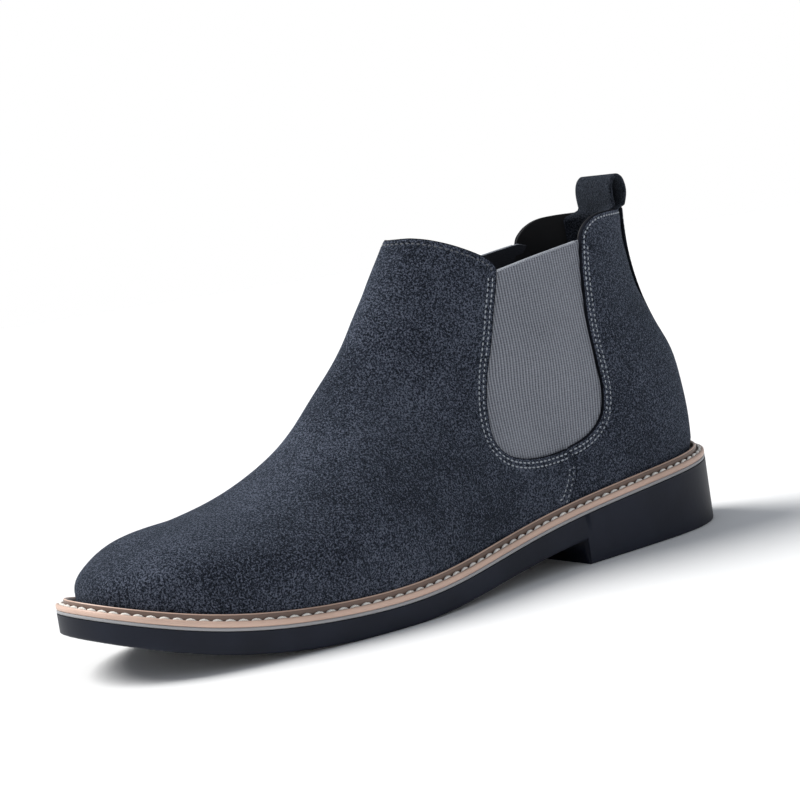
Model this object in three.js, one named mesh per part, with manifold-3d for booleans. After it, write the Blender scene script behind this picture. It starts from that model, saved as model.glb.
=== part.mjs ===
// Chelsea boot, left foot, EU 42. Millimetres: x to the outer side, y from toe to heel, z up.
// The origin is on the ground, under the middle of the boot.
import * as THREE from 'three';
import { mergeVertices } from 'three/addons/utils/BufferGeometryUtils.js';
import Module from 'manifold-3d';

const wasm = await Module();
wasm.setup();

// ---------------------------------------------------------------- driving dimensions
const GAP = 0.3;                 // air kept between neighbouring solids
const SOLE_HALF_LENGTH = 150;    // the outsole reaches from y = -150 to y = +150
const HEEL_BREAST_Y = 61.5;      // front face of the heel
const MIDSOLE = [0.25, 1.4];     // heights above the outsole's top edge: bottom and top
const MIDSOLE_INSET = 0.2;
const WELT = [1.7, 4.0];
const WELT_FLOOR = 3.4;          // bottom of the groove that the stitches lie in
const WELT_THREAD = { inset: 2.2, radius: 0.5 };
const RIB_TOP = 6.2;             // the welt's raised rib beside the upper
const HEEL_POCKET = { from: 76, to: 132.5, inset: 15, floor: 7, clearance: 0.4 };
const SHANK = { from: -18, to: 96, thickness: 1.4, y: [-18, 0, 40, 96], half: [5, 7, 7, 5] };
const FEATHER_HEIGHT = 4.3;      // bottom edge of the upper
const FEATHER_INSET = 5.4;       // upper's bottom edge, in from the sole's edge
const TOE_EXTRA_INSET = 2.2;     // more at the toe
const HEEL_EXTRA_INSET = 1.2;    // and at the heel
const INSOLE = [4.6, 6.6];
const FOOTBED = [6.9, 10.2];
// Plans of the layers inside the welt: how far in from the upper's bottom edge, and their ends.
const FOREPART_FILLER = { inset: 8.2, from: -118, to: -24 };
const INSOLE_BOARD = { inset: 5.6, from: -128, to: 130 };
const FOOTBED_PLAN = { inset: 6, from: -122, to: 130 };
const SUEDE = [-1.6, 0];         // layers of the upper, measured outwards from its surface
const MIDDLE_LAYER = [-3.0, -1.9];
const LINING = [-4.3, -3.3];
const LINING_SHIFT = 0.6;        // the lining's edges, in from the suede's
const STRIP = [0.3, 1.5];
const TAB_LINING = [-5.8, -4.6];
const GORE_SEAM = 6;             // elastic hidden under the suede's edge
const SHAFT_MIDDLE_X = -2;       // the ankle's middle plane
const TAB_WIDTH = 24.4;
const TAB_THICKNESS = 1.6;
const TAB_LOOP = { front: 117, back: 126, foot: 140.6, top: 152 };
const TAB_SEWN = [112, 136.4];   // heights between which its end is sewn to the lining
const FINEST_DETAIL = 0.01;      // slivers thinner than this are cleaned off

// Outsole edge from the toe tip round the outer side to the heel and back: x, y.
const SOLE_EDGE = [
  [-6.5, -150], [22, -140], [40, -110], [49.5, -70], [51.5, -30], [43, 15], [36.5, 60], [32, 105], [19, 140],
  [-2, 150], [-24, 141], [-37, 108], [-36, 60], [-34, 15], [-44, -35], [-52, -75], [-48, -110], [-31, -138],
];
// Height of the outsole's top edge and of its tread, by y.
const SOLE_TOP = { y: [-150, -110, -60, -10, 40, 90, 150], z: [26.6, 15.1, 8.8, 9.8, 17.2, 22.8, 27.0] };
const TREAD = { y: [-150, -110, -60, -10, 40, 90], z: [18.8, 6.4, 0.1, 1.3, 8.0, 12.6] };

// Cross-sections of the upper. Each lies in a plane through the ridge point (y, z), leaning by
// `lean` degrees: 90 is upright across the foot, 0 is level round the ankle. `centre` is the
// ridge's x. Where the plane ends on the sole, `swell` is how far the side stands out past its
// bottom edge; round the ankle, `half` is the half width. `widest` is the share of the way down
// at which that width is reached, and `square` how squarely the end closes: 2 is an ellipse.
const SECTIONS = [
  { y: null, z: null, lean: 90, centre: -3.7, swell: 0, widest: 0.50 },
  { y: -140, z: 37.5, lean: 90, centre: -4.1, swell: 0, widest: 0.50 },
  { y: -130, z: 43.0, lean: 90, centre: -4.5, swell: 0.2, widest: 0.50 },
  { y: -115, z: 48.3, lean: 90, centre: -4.8, swell: 1.2, widest: 0.50 },
  { y: -95, z: 51.0, lean: 90, centre: -4.6, swell: 2.0, widest: 0.54 },
  { y: -75, z: 54.5, lean: 88, centre: -3.8, swell: 2.2, widest: 0.60 },
  { y: -56.4, z: 63.0, lean: 77, centre: -3.2, swell: 2.2, widest: 0.66 },
  { y: -41.5, z: 74.7, lean: 60, centre: -2.6, swell: 2.0, widest: 0.70 },
  { y: -29.2, z: 87.2, lean: 42, centre: -2, swell: 2.0, widest: 0.70, square: 2.1 },
  { y: -18, z: 99.0, lean: 30.5, centre: -2, swell: 2.4, widest: 0.66, square: 2.5 },
  { y: -9.2, z: 110.6, lean: 23.5, centre: -2, half: 32.5, widest: 0.60, square: 2.9 },
  { y: -2, z: 120.0, lean: 17.5, centre: -2, half: 30, widest: 0.57, square: 2.6 },
  { y: 3.6, z: 128.0, lean: 12, centre: -2, half: 27.5, widest: 0.55, square: 2.3 },
  { y: 8.6, z: 135.0, lean: 7, centre: -2, half: 25.5, widest: 0.55, square: 2.2 },
  { y: 13, z: 141.5, lean: 2.5, centre: -2, half: 24.5, widest: 0.55, square: 2.2 },
];
const LAST_SECTION = SECTIONS.length - 1;
const BEYOND_TOP = 0.5;          // sections made past the top line, then trimmed to it
// Back of the heel and ankle: height and y above the sole.
const BACK = { z: [45, 60, 75, 90, 105, 120, 140], y: [143.9, 143.3, 140.6, 133.8, 128.8, 126.4, 126.4] };

// Edges of the panels, seen from the side: y, z.
const GORE_EDGE = [
  [46, 123], [43, 114], [38.9, 103], [35, 92], [31, 78], [28.3, 66], [28.2, 57], [33, 50.5], [42, 47],
  [54, 46], [66, 47.3], [76, 50.5], [82.5, 57], [84.3, 67], [83.8, 80], [84, 94], [85.8, 107], [88, 118],
  [90.5, 128.3],
];
const GORE_LOWEST = 9;           // index of the gore's lowest point in GORE_EDGE
const FRONT_TOP = [
  [46, 123], [45.3, 125.6], [42, 129], [34.5, 133.6], [27.3, 137.2], [20, 140], [13, 141.2], [-10, 142],
];
const GORE_TOP = [[46, 122.6], [66, 125.6], [90.5, 128.3]];
const GORE_MIDDLE = [57, 85];    // the hidden seam widens the opening away from here
const QUARTER_TOP = [
  [90.5, 128.3], [91.6, 131], [95.3, 134.3], [101, 136.6], [109, 137.2], [126, 136.8], [160, 136.8],
];
const SIDE_SEAM = [[62.5, 46.6], [64.8, 42.5], [65, 38], [63, 33], [59.5, 27.5], [55, 20], [51, 10]];
const TOE_PUFF_EDGE = [[-112, 20.5], [-104, 30], [-98, 45], [-96, 60]];
const HEEL_COUNTER_EDGE = [[92, 29], [95, 34], [100, 44], [112, 56], [128, 64], [160, 68]];
// Outer edge of the strip over the back seam: half width and height.
const BACK_STRIP_EDGE = [[9.5, 136], [8.5, 120], [7.2, 100], [6.2, 84], [5.2, 72], [3.4, 66.5], [0, 65]];

// Lines where the front of the shaft bends when the elastic stretches: y, z at front and at gore.
const FLEX_LOW = [[-60, 93], [28, 56]];
const FLEX_HIGH = [[-40, 118], [31, 76]];

// ---------------------------------------------------------------- curves
function solveLinear(rows, values) {
  const n = values.length;
  for (let i = 0; i < n; i++) {
    let pivot = i;
    for (let r = i + 1; r < n; r++) {
      if (Math.abs(rows[r][i]) > Math.abs(rows[pivot][i])) pivot = r;
    }
    [rows[i], rows[pivot]] = [rows[pivot], rows[i]];
    [values[i], values[pivot]] = [values[pivot], values[i]];
    for (let r = i + 1; r < n; r++) {
      const factor = rows[r][i] / rows[i][i];
      for (let c = i; c < n; c++) rows[r][c] -= factor * rows[i][c];
      values[r] -= factor * values[i];
    }
  }
  const solution = new Array(n).fill(0);
  for (let i = n - 1; i >= 0; i--) {
    let sum = values[i];
    for (let c = i + 1; c < n; c++) sum -= rows[i][c] * solution[c];
    solution[i] = sum / rows[i][i];
  }
  return solution;
}

// Natural cubic spline; `flatStart` makes it level at its first point, `closed` joins its ends.
function spline(xs, ys, { flatStart = false, closed = false } = {}) {
  const n = xs.length;
  const h = xs.slice(1).map((x, i) => x - xs[i]);
  const rise = h.map((width, i) => (ys[i + 1] - ys[i]) / width);
  const rows = Array.from({ length: n }, () => new Array(n).fill(0));
  const values = new Array(n).fill(0);
  for (let i = 1; i < n - 1; i++) {
    rows[i][i - 1] = h[i - 1];
    rows[i][i] = 2 * (h[i - 1] + h[i]);
    rows[i][i + 1] = h[i];
    values[i] = 6 * (rise[i] - rise[i - 1]);
  }
  rows[0][0] = 1;
  rows[n - 1][n - 1] = 1;
  if (flatStart) {
    rows[0][0] = 2 * h[0];
    rows[0][1] = h[0];
    values[0] = 6 * rise[0];
  }
  if (closed) {
    rows[0][n - 1] = -1;
    rows[n - 1][0] = 2 * h[0];
    rows[n - 1][1] = h[0];
    rows[n - 1][n - 2] = h[n - 2];
    rows[n - 1][n - 1] = 2 * h[n - 2];
    values[n - 1] = 6 * (rise[0] - rise[n - 2]);
  }
  const bend = solveLinear(rows, values);
  return (x) => {
    let i = 0;
    while (i < n - 2 && x > xs[i + 1]) i++;
    const a = xs[i + 1] - x;
    const b = x - xs[i];
    return (bend[i] * a ** 3 + bend[i + 1] * b ** 3) / (6 * h[i])
      + (ys[i] / h[i] - bend[i] * h[i] / 6) * a + (ys[i + 1] / h[i] - bend[i + 1] * h[i] / 6) * b;
  };
}

const clamp = THREE.MathUtils.clamp;
const smooth = (x, low, high) => THREE.MathUtils.smoothstep(x, low, high);
const spread = (low, high, count) => (
  Array.from({ length: count }, (_, i) => low + (high - low) * i / (count - 1)));

// Root of a function that changes sign between low and high.
function root(f, low, high) {
  const sign = Math.sign(f(low));
  for (let i = 0; i < 50; i++) {
    const middle = (low + high) / 2;
    if (Math.sign(f(middle)) === sign) low = middle;
    else high = middle;
  }
  return (low + high) / 2;
}

// ---------------------------------------------------------------- sole edge
const edgeLoop = [...SOLE_EDGE, SOLE_EDGE[0]];
const edgeAt = [0];
for (let i = 1; i < edgeLoop.length; i++) {
  const [[x0, y0], [x1, y1]] = [edgeLoop[i - 1], edgeLoop[i]];
  edgeAt.push(edgeAt[i - 1] + Math.hypot(x1 - x0, y1 - y0));
}
const EDGE_LENGTH = edgeAt[edgeAt.length - 1];
const edgeX = spline(edgeAt, edgeLoop.map((p) => p[0]), { closed: true });
const edgeY = spline(edgeAt, edgeLoop.map((p) => p[1]), { closed: true });
const soleTop = spline(SOLE_TOP.y, SOLE_TOP.z);
const treadSpline = spline(TREAD.y, TREAD.z);
const tread = (y) => Math.max(0, treadSpline(y));

// Point of the sole's edge at distance u along it, moved in by `inset`.
function edgePoint(u, inset) {
  const step = 0.5;
  const wrap = (v) => (v + EDGE_LENGTH) % EDGE_LENGTH;
  const dx = edgeX(wrap(u + step)) - edgeX(wrap(u - step));
  const dy = edgeY(wrap(u + step)) - edgeY(wrap(u - step));
  const length = Math.hypot(dx, dy);
  return [edgeX(wrap(u)) - dy / length * inset, edgeY(wrap(u)) + dx / length * inset];
}
const featherInset = (y) => FEATHER_INSET + TOE_EXTRA_INSET * smooth(-y, 100, SOLE_HALF_LENGTH)
  + HEEL_EXTRA_INSET * smooth(y, 90, SOLE_HALF_LENGTH);

// The edge moved in by inset(y), as two functions of y: the outer side's x and the inner side's x.
function plan(inset) {
  const samples = 1200;
  const points = Array.from({ length: samples }, (_, i) => {
    const u = EDGE_LENGTH * i / samples;
    return edgePoint(u, inset(edgeY(u)));
  });
  const ys = points.map((p) => p[1]);
  const toe = ys.indexOf(Math.min(...ys));
  const heel = ys.indexOf(Math.max(...ys));
  const walk = (from, to, direction) => {
    const side = [];
    for (let i = from; i !== to; i = (i + direction + samples) % samples) side.push(points[i]);
    side.push(points[to]);
    return side;
  };
  const read = (side) => (y) => {
    let low = 0;
    let high = side.length - 1;
    while (high - low > 1) {
      const middle = (low + high) >> 1;
      if (side[middle][1] < y) low = middle;
      else high = middle;
    }
    const share = clamp((y - side[low][1]) / (side[high][1] - side[low][1]), 0, 1);
    return side[low][0] + (side[high][0] - side[low][0]) * share;
  };
  return { outer: read(walk(toe, heel, 1)), inner: read(walk(toe, heel, -1)), toe: ys[toe], heel: ys[heel] };
}
const solePlan = plan(() => 0);
const featherPlan = plan(featherInset);
const featherZ = (y) => soleTop(y) + FEATHER_HEIGHT;

// ---------------------------------------------------------------- surface of the upper
SECTIONS[0].y = featherPlan.toe;
SECTIONS[0].z = featherZ(featherPlan.toe);
const HEEL_POINT = [featherPlan.heel, featherZ(featherPlan.heel)];
const backY = spline([HEEL_POINT[1], ...BACK.z], [HEEL_POINT[0], ...BACK.y]);
const at = SECTIONS.map((_, i) => i);
const ridgeY = spline(at, SECTIONS.map((s) => s.y), { flatStart: true });
const ridgeZ = spline(at, SECTIONS.map((s) => s.z));
const leanAt = spline(at, SECTIONS.map((s) => s.lean), { flatStart: true });
const centreAt = spline(at, SECTIONS.map((s) => s.centre));
const widestAt = spline(at, SECTIONS.map((s) => s.widest));
const squareAt = spline(at, SECTIONS.map((s) => s.square ?? 2));

// Ridge point, downward direction and lower end of the section at t.
function sectionLine(t) {
  const ridge = [ridgeY(t), ridgeZ(t)];
  const angle = THREE.MathUtils.degToRad(leanAt(t));
  const down = [Math.cos(angle), -Math.sin(angle)];
  const off = (y, z) => (y - ridge[0]) * down[1] - (z - ridge[1]) * down[0];
  if (t <= 0) return { ridge, down, length: 0, end: ridge, onSole: true };
  const onSole = off(...HEEL_POINT) <= 0;
  let end;
  if (onSole) {
    const y = root((v) => off(v, featherZ(v)), Math.max(featherPlan.toe, ridge[0] - 3), HEEL_POINT[0]);
    end = [y, featherZ(y)];
  } else {
    const z = root((v) => off(backY(v), v), HEEL_POINT[1], BACK.z[BACK.z.length - 1] + 20);
    end = [backY(z), z];
  }
  return { ridge, down, end, onSole, length: Math.hypot(end[0] - ridge[0], end[1] - ridge[1]) };
}
const HEEL_SECTION = root((t) => {
  const angle = THREE.MathUtils.degToRad(leanAt(t));
  return (HEEL_POINT[0] - ridgeY(t)) * -Math.sin(angle) - (HEEL_POINT[1] - ridgeZ(t)) * Math.cos(angle);
}, 8, 11);

function halfWidths(side) {
  return SECTIONS.map((section, t) => {
    if (t === 0) return 0;
    if (section.half !== undefined) return section.half;
    const { end } = sectionLine(t);
    return side * (featherPlan[side > 0 ? 'outer' : 'inner'](end[0]) - section.centre) + section.swell;
  });
}
const widthOuter = spline(at, halfWidths(1));
const widthInner = spline(at, halfWidths(-1));

// Point of the upper's surface. t counts the sections from the toe; s runs from 0 on the ridge to
// +1 at the bottom edge on the outer side, or -1 on the inner side.
function surface(t, s) {
  const { ridge, down, end, length, onSole } = sectionLine(t);
  const side = s < 0 ? -1 : 1;
  const share = (1 - Math.cos(Math.PI * Math.abs(s))) / 2;
  const centre = centreAt(t);
  const widest = widestAt(t);
  const width = Math.max((side > 0 ? widthOuter : widthInner)(t), 1e-6);
  let foot = 0;
  if (t > 0 && onSole) foot = side * (featherPlan[side > 0 ? 'outer' : 'inner'](end[0]) - centre);
  foot = clamp(foot, 0, width * 0.9995);
  let across;
  if (share < widest) {
    across = width * Math.sqrt(Math.max(0, 1 - (1 - share / widest) ** 2));
  } else {
    const square = squareAt(t);
    const closing = (1 - widest) / (1 - (foot / width) ** 2) ** (1 / square);
    across = width * Math.sqrt(Math.max(0, 1 - ((share - widest) / closing) ** square));
  }
  if (Math.abs(s) === 1) across = foot;
  return new THREE.Vector3(centre + side * across, ridge[0] + down[0] * length * share,
    ridge[1] + down[1] * length * share);
}

function surfaceNormal(t, s) {
  if (t < 0.02) return new THREE.Vector3(0, -1, 0);
  const onBackSeam = Math.abs(s) === 1 && t >= HEEL_SECTION;
  if (onBackSeam) s = 1;
  const step = 0.01;
  const alongT = surface(t + step, s).sub(surface(t - step, s));
  const low = Math.max(s - step, -1);
  const high = Math.min(s + step, 1);
  const alongS = surface(t, high).sub(surface(t, low));
  const normal = alongS.cross(alongT).normalize();
  if (onBackSeam) normal.x = 0;
  return normal.normalize();
}

// ---------------------------------------------------------------- solids
const toGeometry = (positions, index) => {
  const geometry = new THREE.BufferGeometry();
  geometry.setAttribute('position', new THREE.Float32BufferAttribute(positions, 3));
  geometry.setIndex(index);
  return geometry;
};

function toSolid(geometry) {
  geometry.deleteAttribute('normal');
  geometry.deleteAttribute('uv');
  const merged = mergeVertices(geometry, 1e-4);
  const position = merged.attributes.position.array;
  const index = [];
  const source = merged.index.array;
  for (let i = 0; i < source.length; i += 3) {
    const [a, b, c] = [source[i], source[i + 1], source[i + 2]];
    if (a !== b && b !== c && c !== a) index.push(a, b, c);
  }
  const mesh = new wasm.Mesh({ numProp: 3, vertProperties: position, triVerts: new Uint32Array(index) });
  return new wasm.Manifold(mesh);
}

function fromSolid(solid) {
  const { vertProperties, triVerts } = solid.simplify(FINEST_DETAIL).getMesh();
  return toGeometry(Array.from(vertProperties), Array.from(triVerts));
}

// A sheet of rows of outer points and matching inner points, closed round its open edges.
function thickSheet(outer, inner) {
  const key = (p) => p.toArray().map((v) => Math.round(v * 1e4)).join();
  const numbers = new Map();
  const tops = [];
  const bottoms = [];
  const ids = outer.map((row, i) => row.map((point, j) => {
    const k = key(point);
    if (!numbers.has(k)) {
      numbers.set(k, tops.length);
      tops.push(point);
      bottoms.push(inner[i][j]);
    }
    return numbers.get(k);
  }));
  const sheet = [];
  const add = (a, b, c) => {
    if (a !== b && b !== c && c !== a) sheet.push([a, b, c]);
  };
  for (let i = 0; i + 1 < ids.length; i++) {
    for (let j = 0; j + 1 < ids[i].length; j++) {
      const [a, b, c, d] = [ids[i][j], ids[i + 1][j], ids[i + 1][j + 1], ids[i][j + 1]];
      add(a, b, c);
      add(a, c, d);
    }
  }
  const count = tops.length;
  const edges = new Map();
  for (const [a, b, c] of sheet) {
    for (const [p, q] of [[a, b], [b, c], [c, a]]) edges.set(`${p},${q}`, [p, q]);
  }
  const index = [];
  for (const [a, b, c] of sheet) index.push(a, b, c, c + count, b + count, a + count);
  for (const [p, q] of edges.values()) {
    if (!edges.has(`${q},${p}`)) index.push(q, p, p + count, q, p + count, q + count);
  }
  return toGeometry([...tops, ...bottoms].flatMap((p) => p.toArray()), index);
}

const ROWS = [
  0, 0.2, 0.5, 0.9, 1.4, 2, 2.7, 3.4, 4.2, 5, 5.7, 6.3, 6.8, 7.3, 7.7, 8.1, 8.5, 8.9,
  ...spread(9.2, HEEL_SECTION, 4), ...spread(HEEL_SECTION, LAST_SECTION + BEYOND_TOP, 11).slice(1),
];
const COLUMNS = spread(1, -1, 23);

// The whole upper as one shell between two offsets from its surface.
function shell([low, high]) {
  const point = (t, s, offset) => surface(t, s).addScaledVector(surfaceNormal(t, s), offset);
  const face = (offset) => ROWS.map((t) => COLUMNS.map((s) => point(t, s, offset)));
  return toSolid(thickSheet(face(high), face(low)));
}

// An outline in the (y, z) plane, made solid from x = low to x = high.
function sidePrism(outline, low, high) {
  const shape = new THREE.Shape(outline.map(([y, z]) => new THREE.Vector2(y, z)));
  const geometry = new THREE.ExtrudeGeometry(shape, { depth: high - low, bevelEnabled: false });
  geometry.applyMatrix4(new THREE.Matrix4().set(0, 0, 1, low, 1, 0, 0, 0, 0, 1, 0, 0, 0, 0, 0, 1));
  return toSolid(geometry);
}

// An outline in the (x, z) plane, with x from the ankle's middle, made solid from y = low to high.
function backPrism(outline, low, high) {
  const shape = new THREE.Shape(outline.map(([x, z]) => new THREE.Vector2(x + SHAFT_MIDDLE_X, z)));
  const geometry = new THREE.ExtrudeGeometry(shape, { depth: high - low, bevelEnabled: false });
  geometry.applyMatrix4(new THREE.Matrix4().set(1, 0, 0, 0, 0, 0, -1, high, 0, 1, 0, 0, 0, 0, 0, 1));
  return toSolid(geometry);
}

const SPAN_STEPS = 2;
function curve(points) {
  const path = new THREE.SplineCurve(points.map(([a, b]) => new THREE.Vector2(a, b)));
  return path.getPoints((points.length - 1) * SPAN_STEPS).map((p) => [p.x, p.y]);
}

// A flat layer between two heights, as wide as two functions of y say.
function slab({ outer, inner, from, to, top, bottom, count = 30, breaks = [] }) {
  const ys = spread(0, 1, count).map((v) => from + (to - from) * (1 - Math.cos(Math.PI * v)) / 2);
  ys.push(...breaks.flatMap((y) => [y, y + 0.5]));
  ys.sort((a, b) => a - b);
  const row = (height) => ys.map((y) => [inner(y), outer(y)].map((x) => new THREE.Vector3(x, y, height(y))));
  return thickSheet(row(top).map((pair) => pair.reverse()), row(bottom).map((pair) => pair.reverse()));
}

// A closed band round the sole, with a profile of (inset, height above the sole's top edge).
function band(profile, steps) {
  const loops = Array.from({ length: steps }, (_, i) => {
    const u = EDGE_LENGTH * i / steps;
    return profile.map(([inset, height]) => {
      const [x, y] = edgePoint(u, inset);
      return new THREE.Vector3(x, y, soleTop(y) + height);
    });
  });
  const size = profile.length;
  const index = [];
  for (let i = 0; i < steps; i++) {
    for (let j = 0; j < size; j++) {
      const a = i * size + j;
      const b = i * size + (j + 1) % size;
      const c = ((i + 1) % steps) * size + j;
      const d = ((i + 1) % steps) * size + (j + 1) % size;
      index.push(a, c, b, b, c, d);
    }
  }
  return toGeometry(loops.flat().flatMap((p) => p.toArray()), index);
}

// ---------------------------------------------------------------- sole unit
const within = (inset) => plan(() => inset);

// The hollow in the heel, or with clearance the core that fills it.
function heelCore(clearance, floor, top) {
  const { outer, inner } = within(HEEL_POCKET.inset + clearance);
  return slab({
    outer, inner, from: HEEL_POCKET.from + clearance, to: HEEL_POCKET.to - clearance, count: 12,
    top, bottom: () => floor,
  });
}

function outsole() {
  const bottom = (y) => (y > HEEL_BREAST_Y ? 0 : tread(y));
  const body = slab({
    outer: solePlan.outer, inner: solePlan.inner, from: solePlan.toe, to: solePlan.heel,
    top: soleTop, bottom, count: 44, breaks: [HEEL_BREAST_Y],
  });
  const pocket = toSolid(heelCore(0, HEEL_POCKET.floor, (y) => soleTop(y) + 10));
  return fromSolid(toSolid(body).subtract(pocket));
}

function heelFiller() {
  return heelCore(HEEL_POCKET.clearance, HEEL_POCKET.floor + GAP, (y) => soleTop(y) - GAP / 2);
}

// A layer between the welt's rib and the footbed, set in from the upper's bottom edge.
function layer({ inset, from, to }, [low, high]) {
  const { outer, inner } = plan((y) => featherInset(y) + inset);
  return slab({
    outer, inner, from, to, count: 26, top: (y) => soleTop(y) + high, bottom: (y) => soleTop(y) + low,
  });
}

function midsole() {
  const { outer, inner, toe, heel } = within(MIDSOLE_INSET);
  return slab({
    outer, inner, from: toe, to: heel, count: 44,
    top: (y) => soleTop(y) + MIDSOLE[1], bottom: (y) => soleTop(y) + MIDSOLE[0],
  });
}

const WELT_PROFILE = [
  [0.3, WELT[0]], [0.3, 3.3], [0.8, WELT[1]], [1.4, WELT[1]],
  [1.6, WELT_FLOOR], [2.8, WELT_FLOOR], [3.0, WELT[1]], [3.1, RIB_TOP - 0.4],
  [3.4, RIB_TOP], [3.7, RIB_TOP], [3.9, RIB_TOP - 0.4], [3.9, WELT[1]],
  [12, WELT[1]], [12, WELT[0]],
];
function welt() {
  return band(WELT_PROFILE, 90);
}

function weltStitching() {
  const { inset, radius } = WELT_THREAD;
  const height = WELT_FLOOR + GAP + radius;
  const profile = [
    [inset - radius, height], [inset, height + radius], [inset + radius, height], [inset, height - radius],
  ];
  return band(profile, 108);
}

function shank() {
  const { from, to, thickness } = SHANK;
  const half = spline(SHANK.y, SHANK.half);
  return slab({
    outer: half, inner: (y) => -half(y), from, to, count: 12,
    top: (y) => soleTop(y) + WELT[0] + thickness, bottom: (y) => soleTop(y) + WELT[0],
  });
}

// ---------------------------------------------------------------- regions seen from the side
const gorePath = curve(GORE_EDGE);
const goreLowest = GORE_LOWEST * SPAN_STEPS;
const seamPath = curve(SIDE_SEAM);
const FAR = 180;                 // beyond the boot's ends
// The upper's bottom edge seen from the side, from heel to toe.
const bottomPath = spread(SOLE_HALF_LENGTH, -SOLE_HALF_LENGTH, 25).map((y) => [y, featherZ(y)]);
const bottomTo = (y) => bottomPath.filter((p) => p[0] < y - 4).reverse();
const bottomFrom = (y) => bottomPath.filter((p) => p[0] > y + 4);

// In front of the side seam and the gore, below the front top line.
function frontRegion(shift) {
  const seam = seamPath.map(([y, z]) => [y - shift, z]).filter(([y, z]) => z > featherZ(y));
  const gore = gorePath.slice(0, goreLowest + 1).reverse().map(([y, z]) => [y - shift, z - shift * 0.5]);
  const top = curve(FRONT_TOP).slice(1).map(([y, z]) => [y - shift, z - shift]);
  const foot = seam[seam.length - 1][0];
  const [, highest] = FRONT_TOP[FRONT_TOP.length - 1];
  const bottom = [[-FAR, featherZ(-SOLE_HALF_LENGTH)], ...bottomTo(foot)];
  return [...bottom, ...seam.reverse(), ...gore, ...top, [-FAR, highest]];
}

// Behind them, below the quarter's top line.
function rearRegion(shift) {
  const seam = seamPath.map(([y, z]) => [y + shift, z]).filter(([y, z]) => z > featherZ(y));
  const gore = gorePath.slice(goreLowest + 2).map(([y, z]) => [y + shift, z - shift * 0.5]);
  const top = curve(QUARTER_TOP).slice(1).map(([y, z]) => [y + shift, z - shift]);
  const foot = seam[seam.length - 1][0];
  const [, highest] = QUARTER_TOP[QUARTER_TOP.length - 1];
  const bottom = [...bottomFrom(foot).reverse(), [FAR, featherZ(SOLE_HALF_LENGTH)]];
  return [...bottom, [FAR, highest - shift], ...top.reverse(), ...gore.reverse(), ...seam];
}

// The elastic, with the seam allowance that is hidden under the suede.
function goreRegion() {
  const [middle, height] = GORE_MIDDLE;
  const wide = gorePath.map(([y, z]) => {
    const [dy, dz] = [y - middle, Math.min(0, z - height)];
    const length = Math.hypot(dy, dz);
    return [y + dy / length * GORE_SEAM, z + dz / length * GORE_SEAM];
  });
  const top = curve(GORE_TOP);
  const [front, back] = [wide[0], wide[wide.length - 1]];
  const [frontTop, backTop] = [top[0], top[top.length - 1]];
  return [...wide, [back[0], backTop[1] + GAP], ...top.reverse(), [front[0], frontTop[1] - 2 * GAP]];
}

// Everything above a line that runs on forwards from its first point and level from its last.
const aboveLine = ([[y0, z0], [y1, z1]]) => {
  const slope = (z1 - z0) / (y1 - y0);
  return [[-FAR, z0 + slope * (-FAR - y0)], [y1, z1], [FAR, z1], [FAR, 2 * FAR], [-FAR, 2 * FAR]];
};

const WIDE = 80;                 // beyond the boot's sides
const suedeShell = shell(SUEDE);
const liningShell = shell(LINING);
const middleShell = shell(MIDDLE_LAYER);
const shifted = (line, distance) => line.map(([y, z]) => [y, z + distance]);

// The front panel of a layer, parted at the two flex lines: fixed, bending and moving parts.
function frontPanel(layerShell, shift) {
  const panel = layerShell.intersect(sidePrism(frontRegion(shift), -WIDE, WIDE));
  const half = GAP / 2;
  const fixed = panel.subtract(sidePrism(aboveLine(shifted(FLEX_LOW, -half)), -WIDE, WIDE));
  const moving = panel.intersect(sidePrism(aboveLine(shifted(FLEX_HIGH, half)), -WIDE, WIDE));
  const bending = panel.intersect(sidePrism(aboveLine(shifted(FLEX_LOW, half)), -WIDE, WIDE))
    .subtract(sidePrism(aboveLine(shifted(FLEX_HIGH, -half)), -WIDE, WIDE));
  return [fixed, bending, moving].map(fromSolid);
}

function rearPanel(layerShell, shift, side) {
  const near = SHAFT_MIDDLE_X + side * GAP / 2;
  const bounds = side > 0 ? [near, WIDE] : [-WIDE, near];
  return fromSolid(layerShell.intersect(sidePrism(rearRegion(shift), ...bounds)));
}

function gore(side) {
  const bounds = side > 0 ? [SHAFT_MIDDLE_X, WIDE] : [-WIDE, SHAFT_MIDDLE_X];
  return fromSolid(middleShell.intersect(sidePrism(goreRegion(), ...bounds)));
}

function toePuff() {
  const edge = curve(TOE_PUFF_EDGE);
  const [foot, high] = [edge[0][0], edge[edge.length - 1]];
  const bottom = [[-FAR, featherZ(-SOLE_HALF_LENGTH)], ...bottomTo(foot)];
  const outline = [...bottom, ...edge, [high[0], FAR], [-FAR, FAR]];
  return fromSolid(middleShell.intersect(sidePrism(outline, -WIDE, WIDE)));
}

function heelCounter() {
  const edge = curve(HEEL_COUNTER_EDGE);
  const [foot, high] = [edge[0][0], edge[edge.length - 1]];
  const outline = [...edge, [FAR, high[1]], [FAR, featherZ(SOLE_HALF_LENGTH)], ...bottomFrom(foot)];
  return fromSolid(middleShell.intersect(sidePrism(outline, -WIDE, WIDE)));
}

const BEHIND_ANKLE = [100, 170];  // y range that holds the back of the boot above the heel

// Tapered strip over the back seam.
function backStrip() {
  const right = curve(BACK_STRIP_EDGE);
  const left = right.slice(0, -1).reverse().map(([x, z]) => [-x, z]);
  return fromSolid(shell(STRIP).intersect(backPrism([...right, ...left], ...BEHIND_ANKLE)));
}

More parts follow.
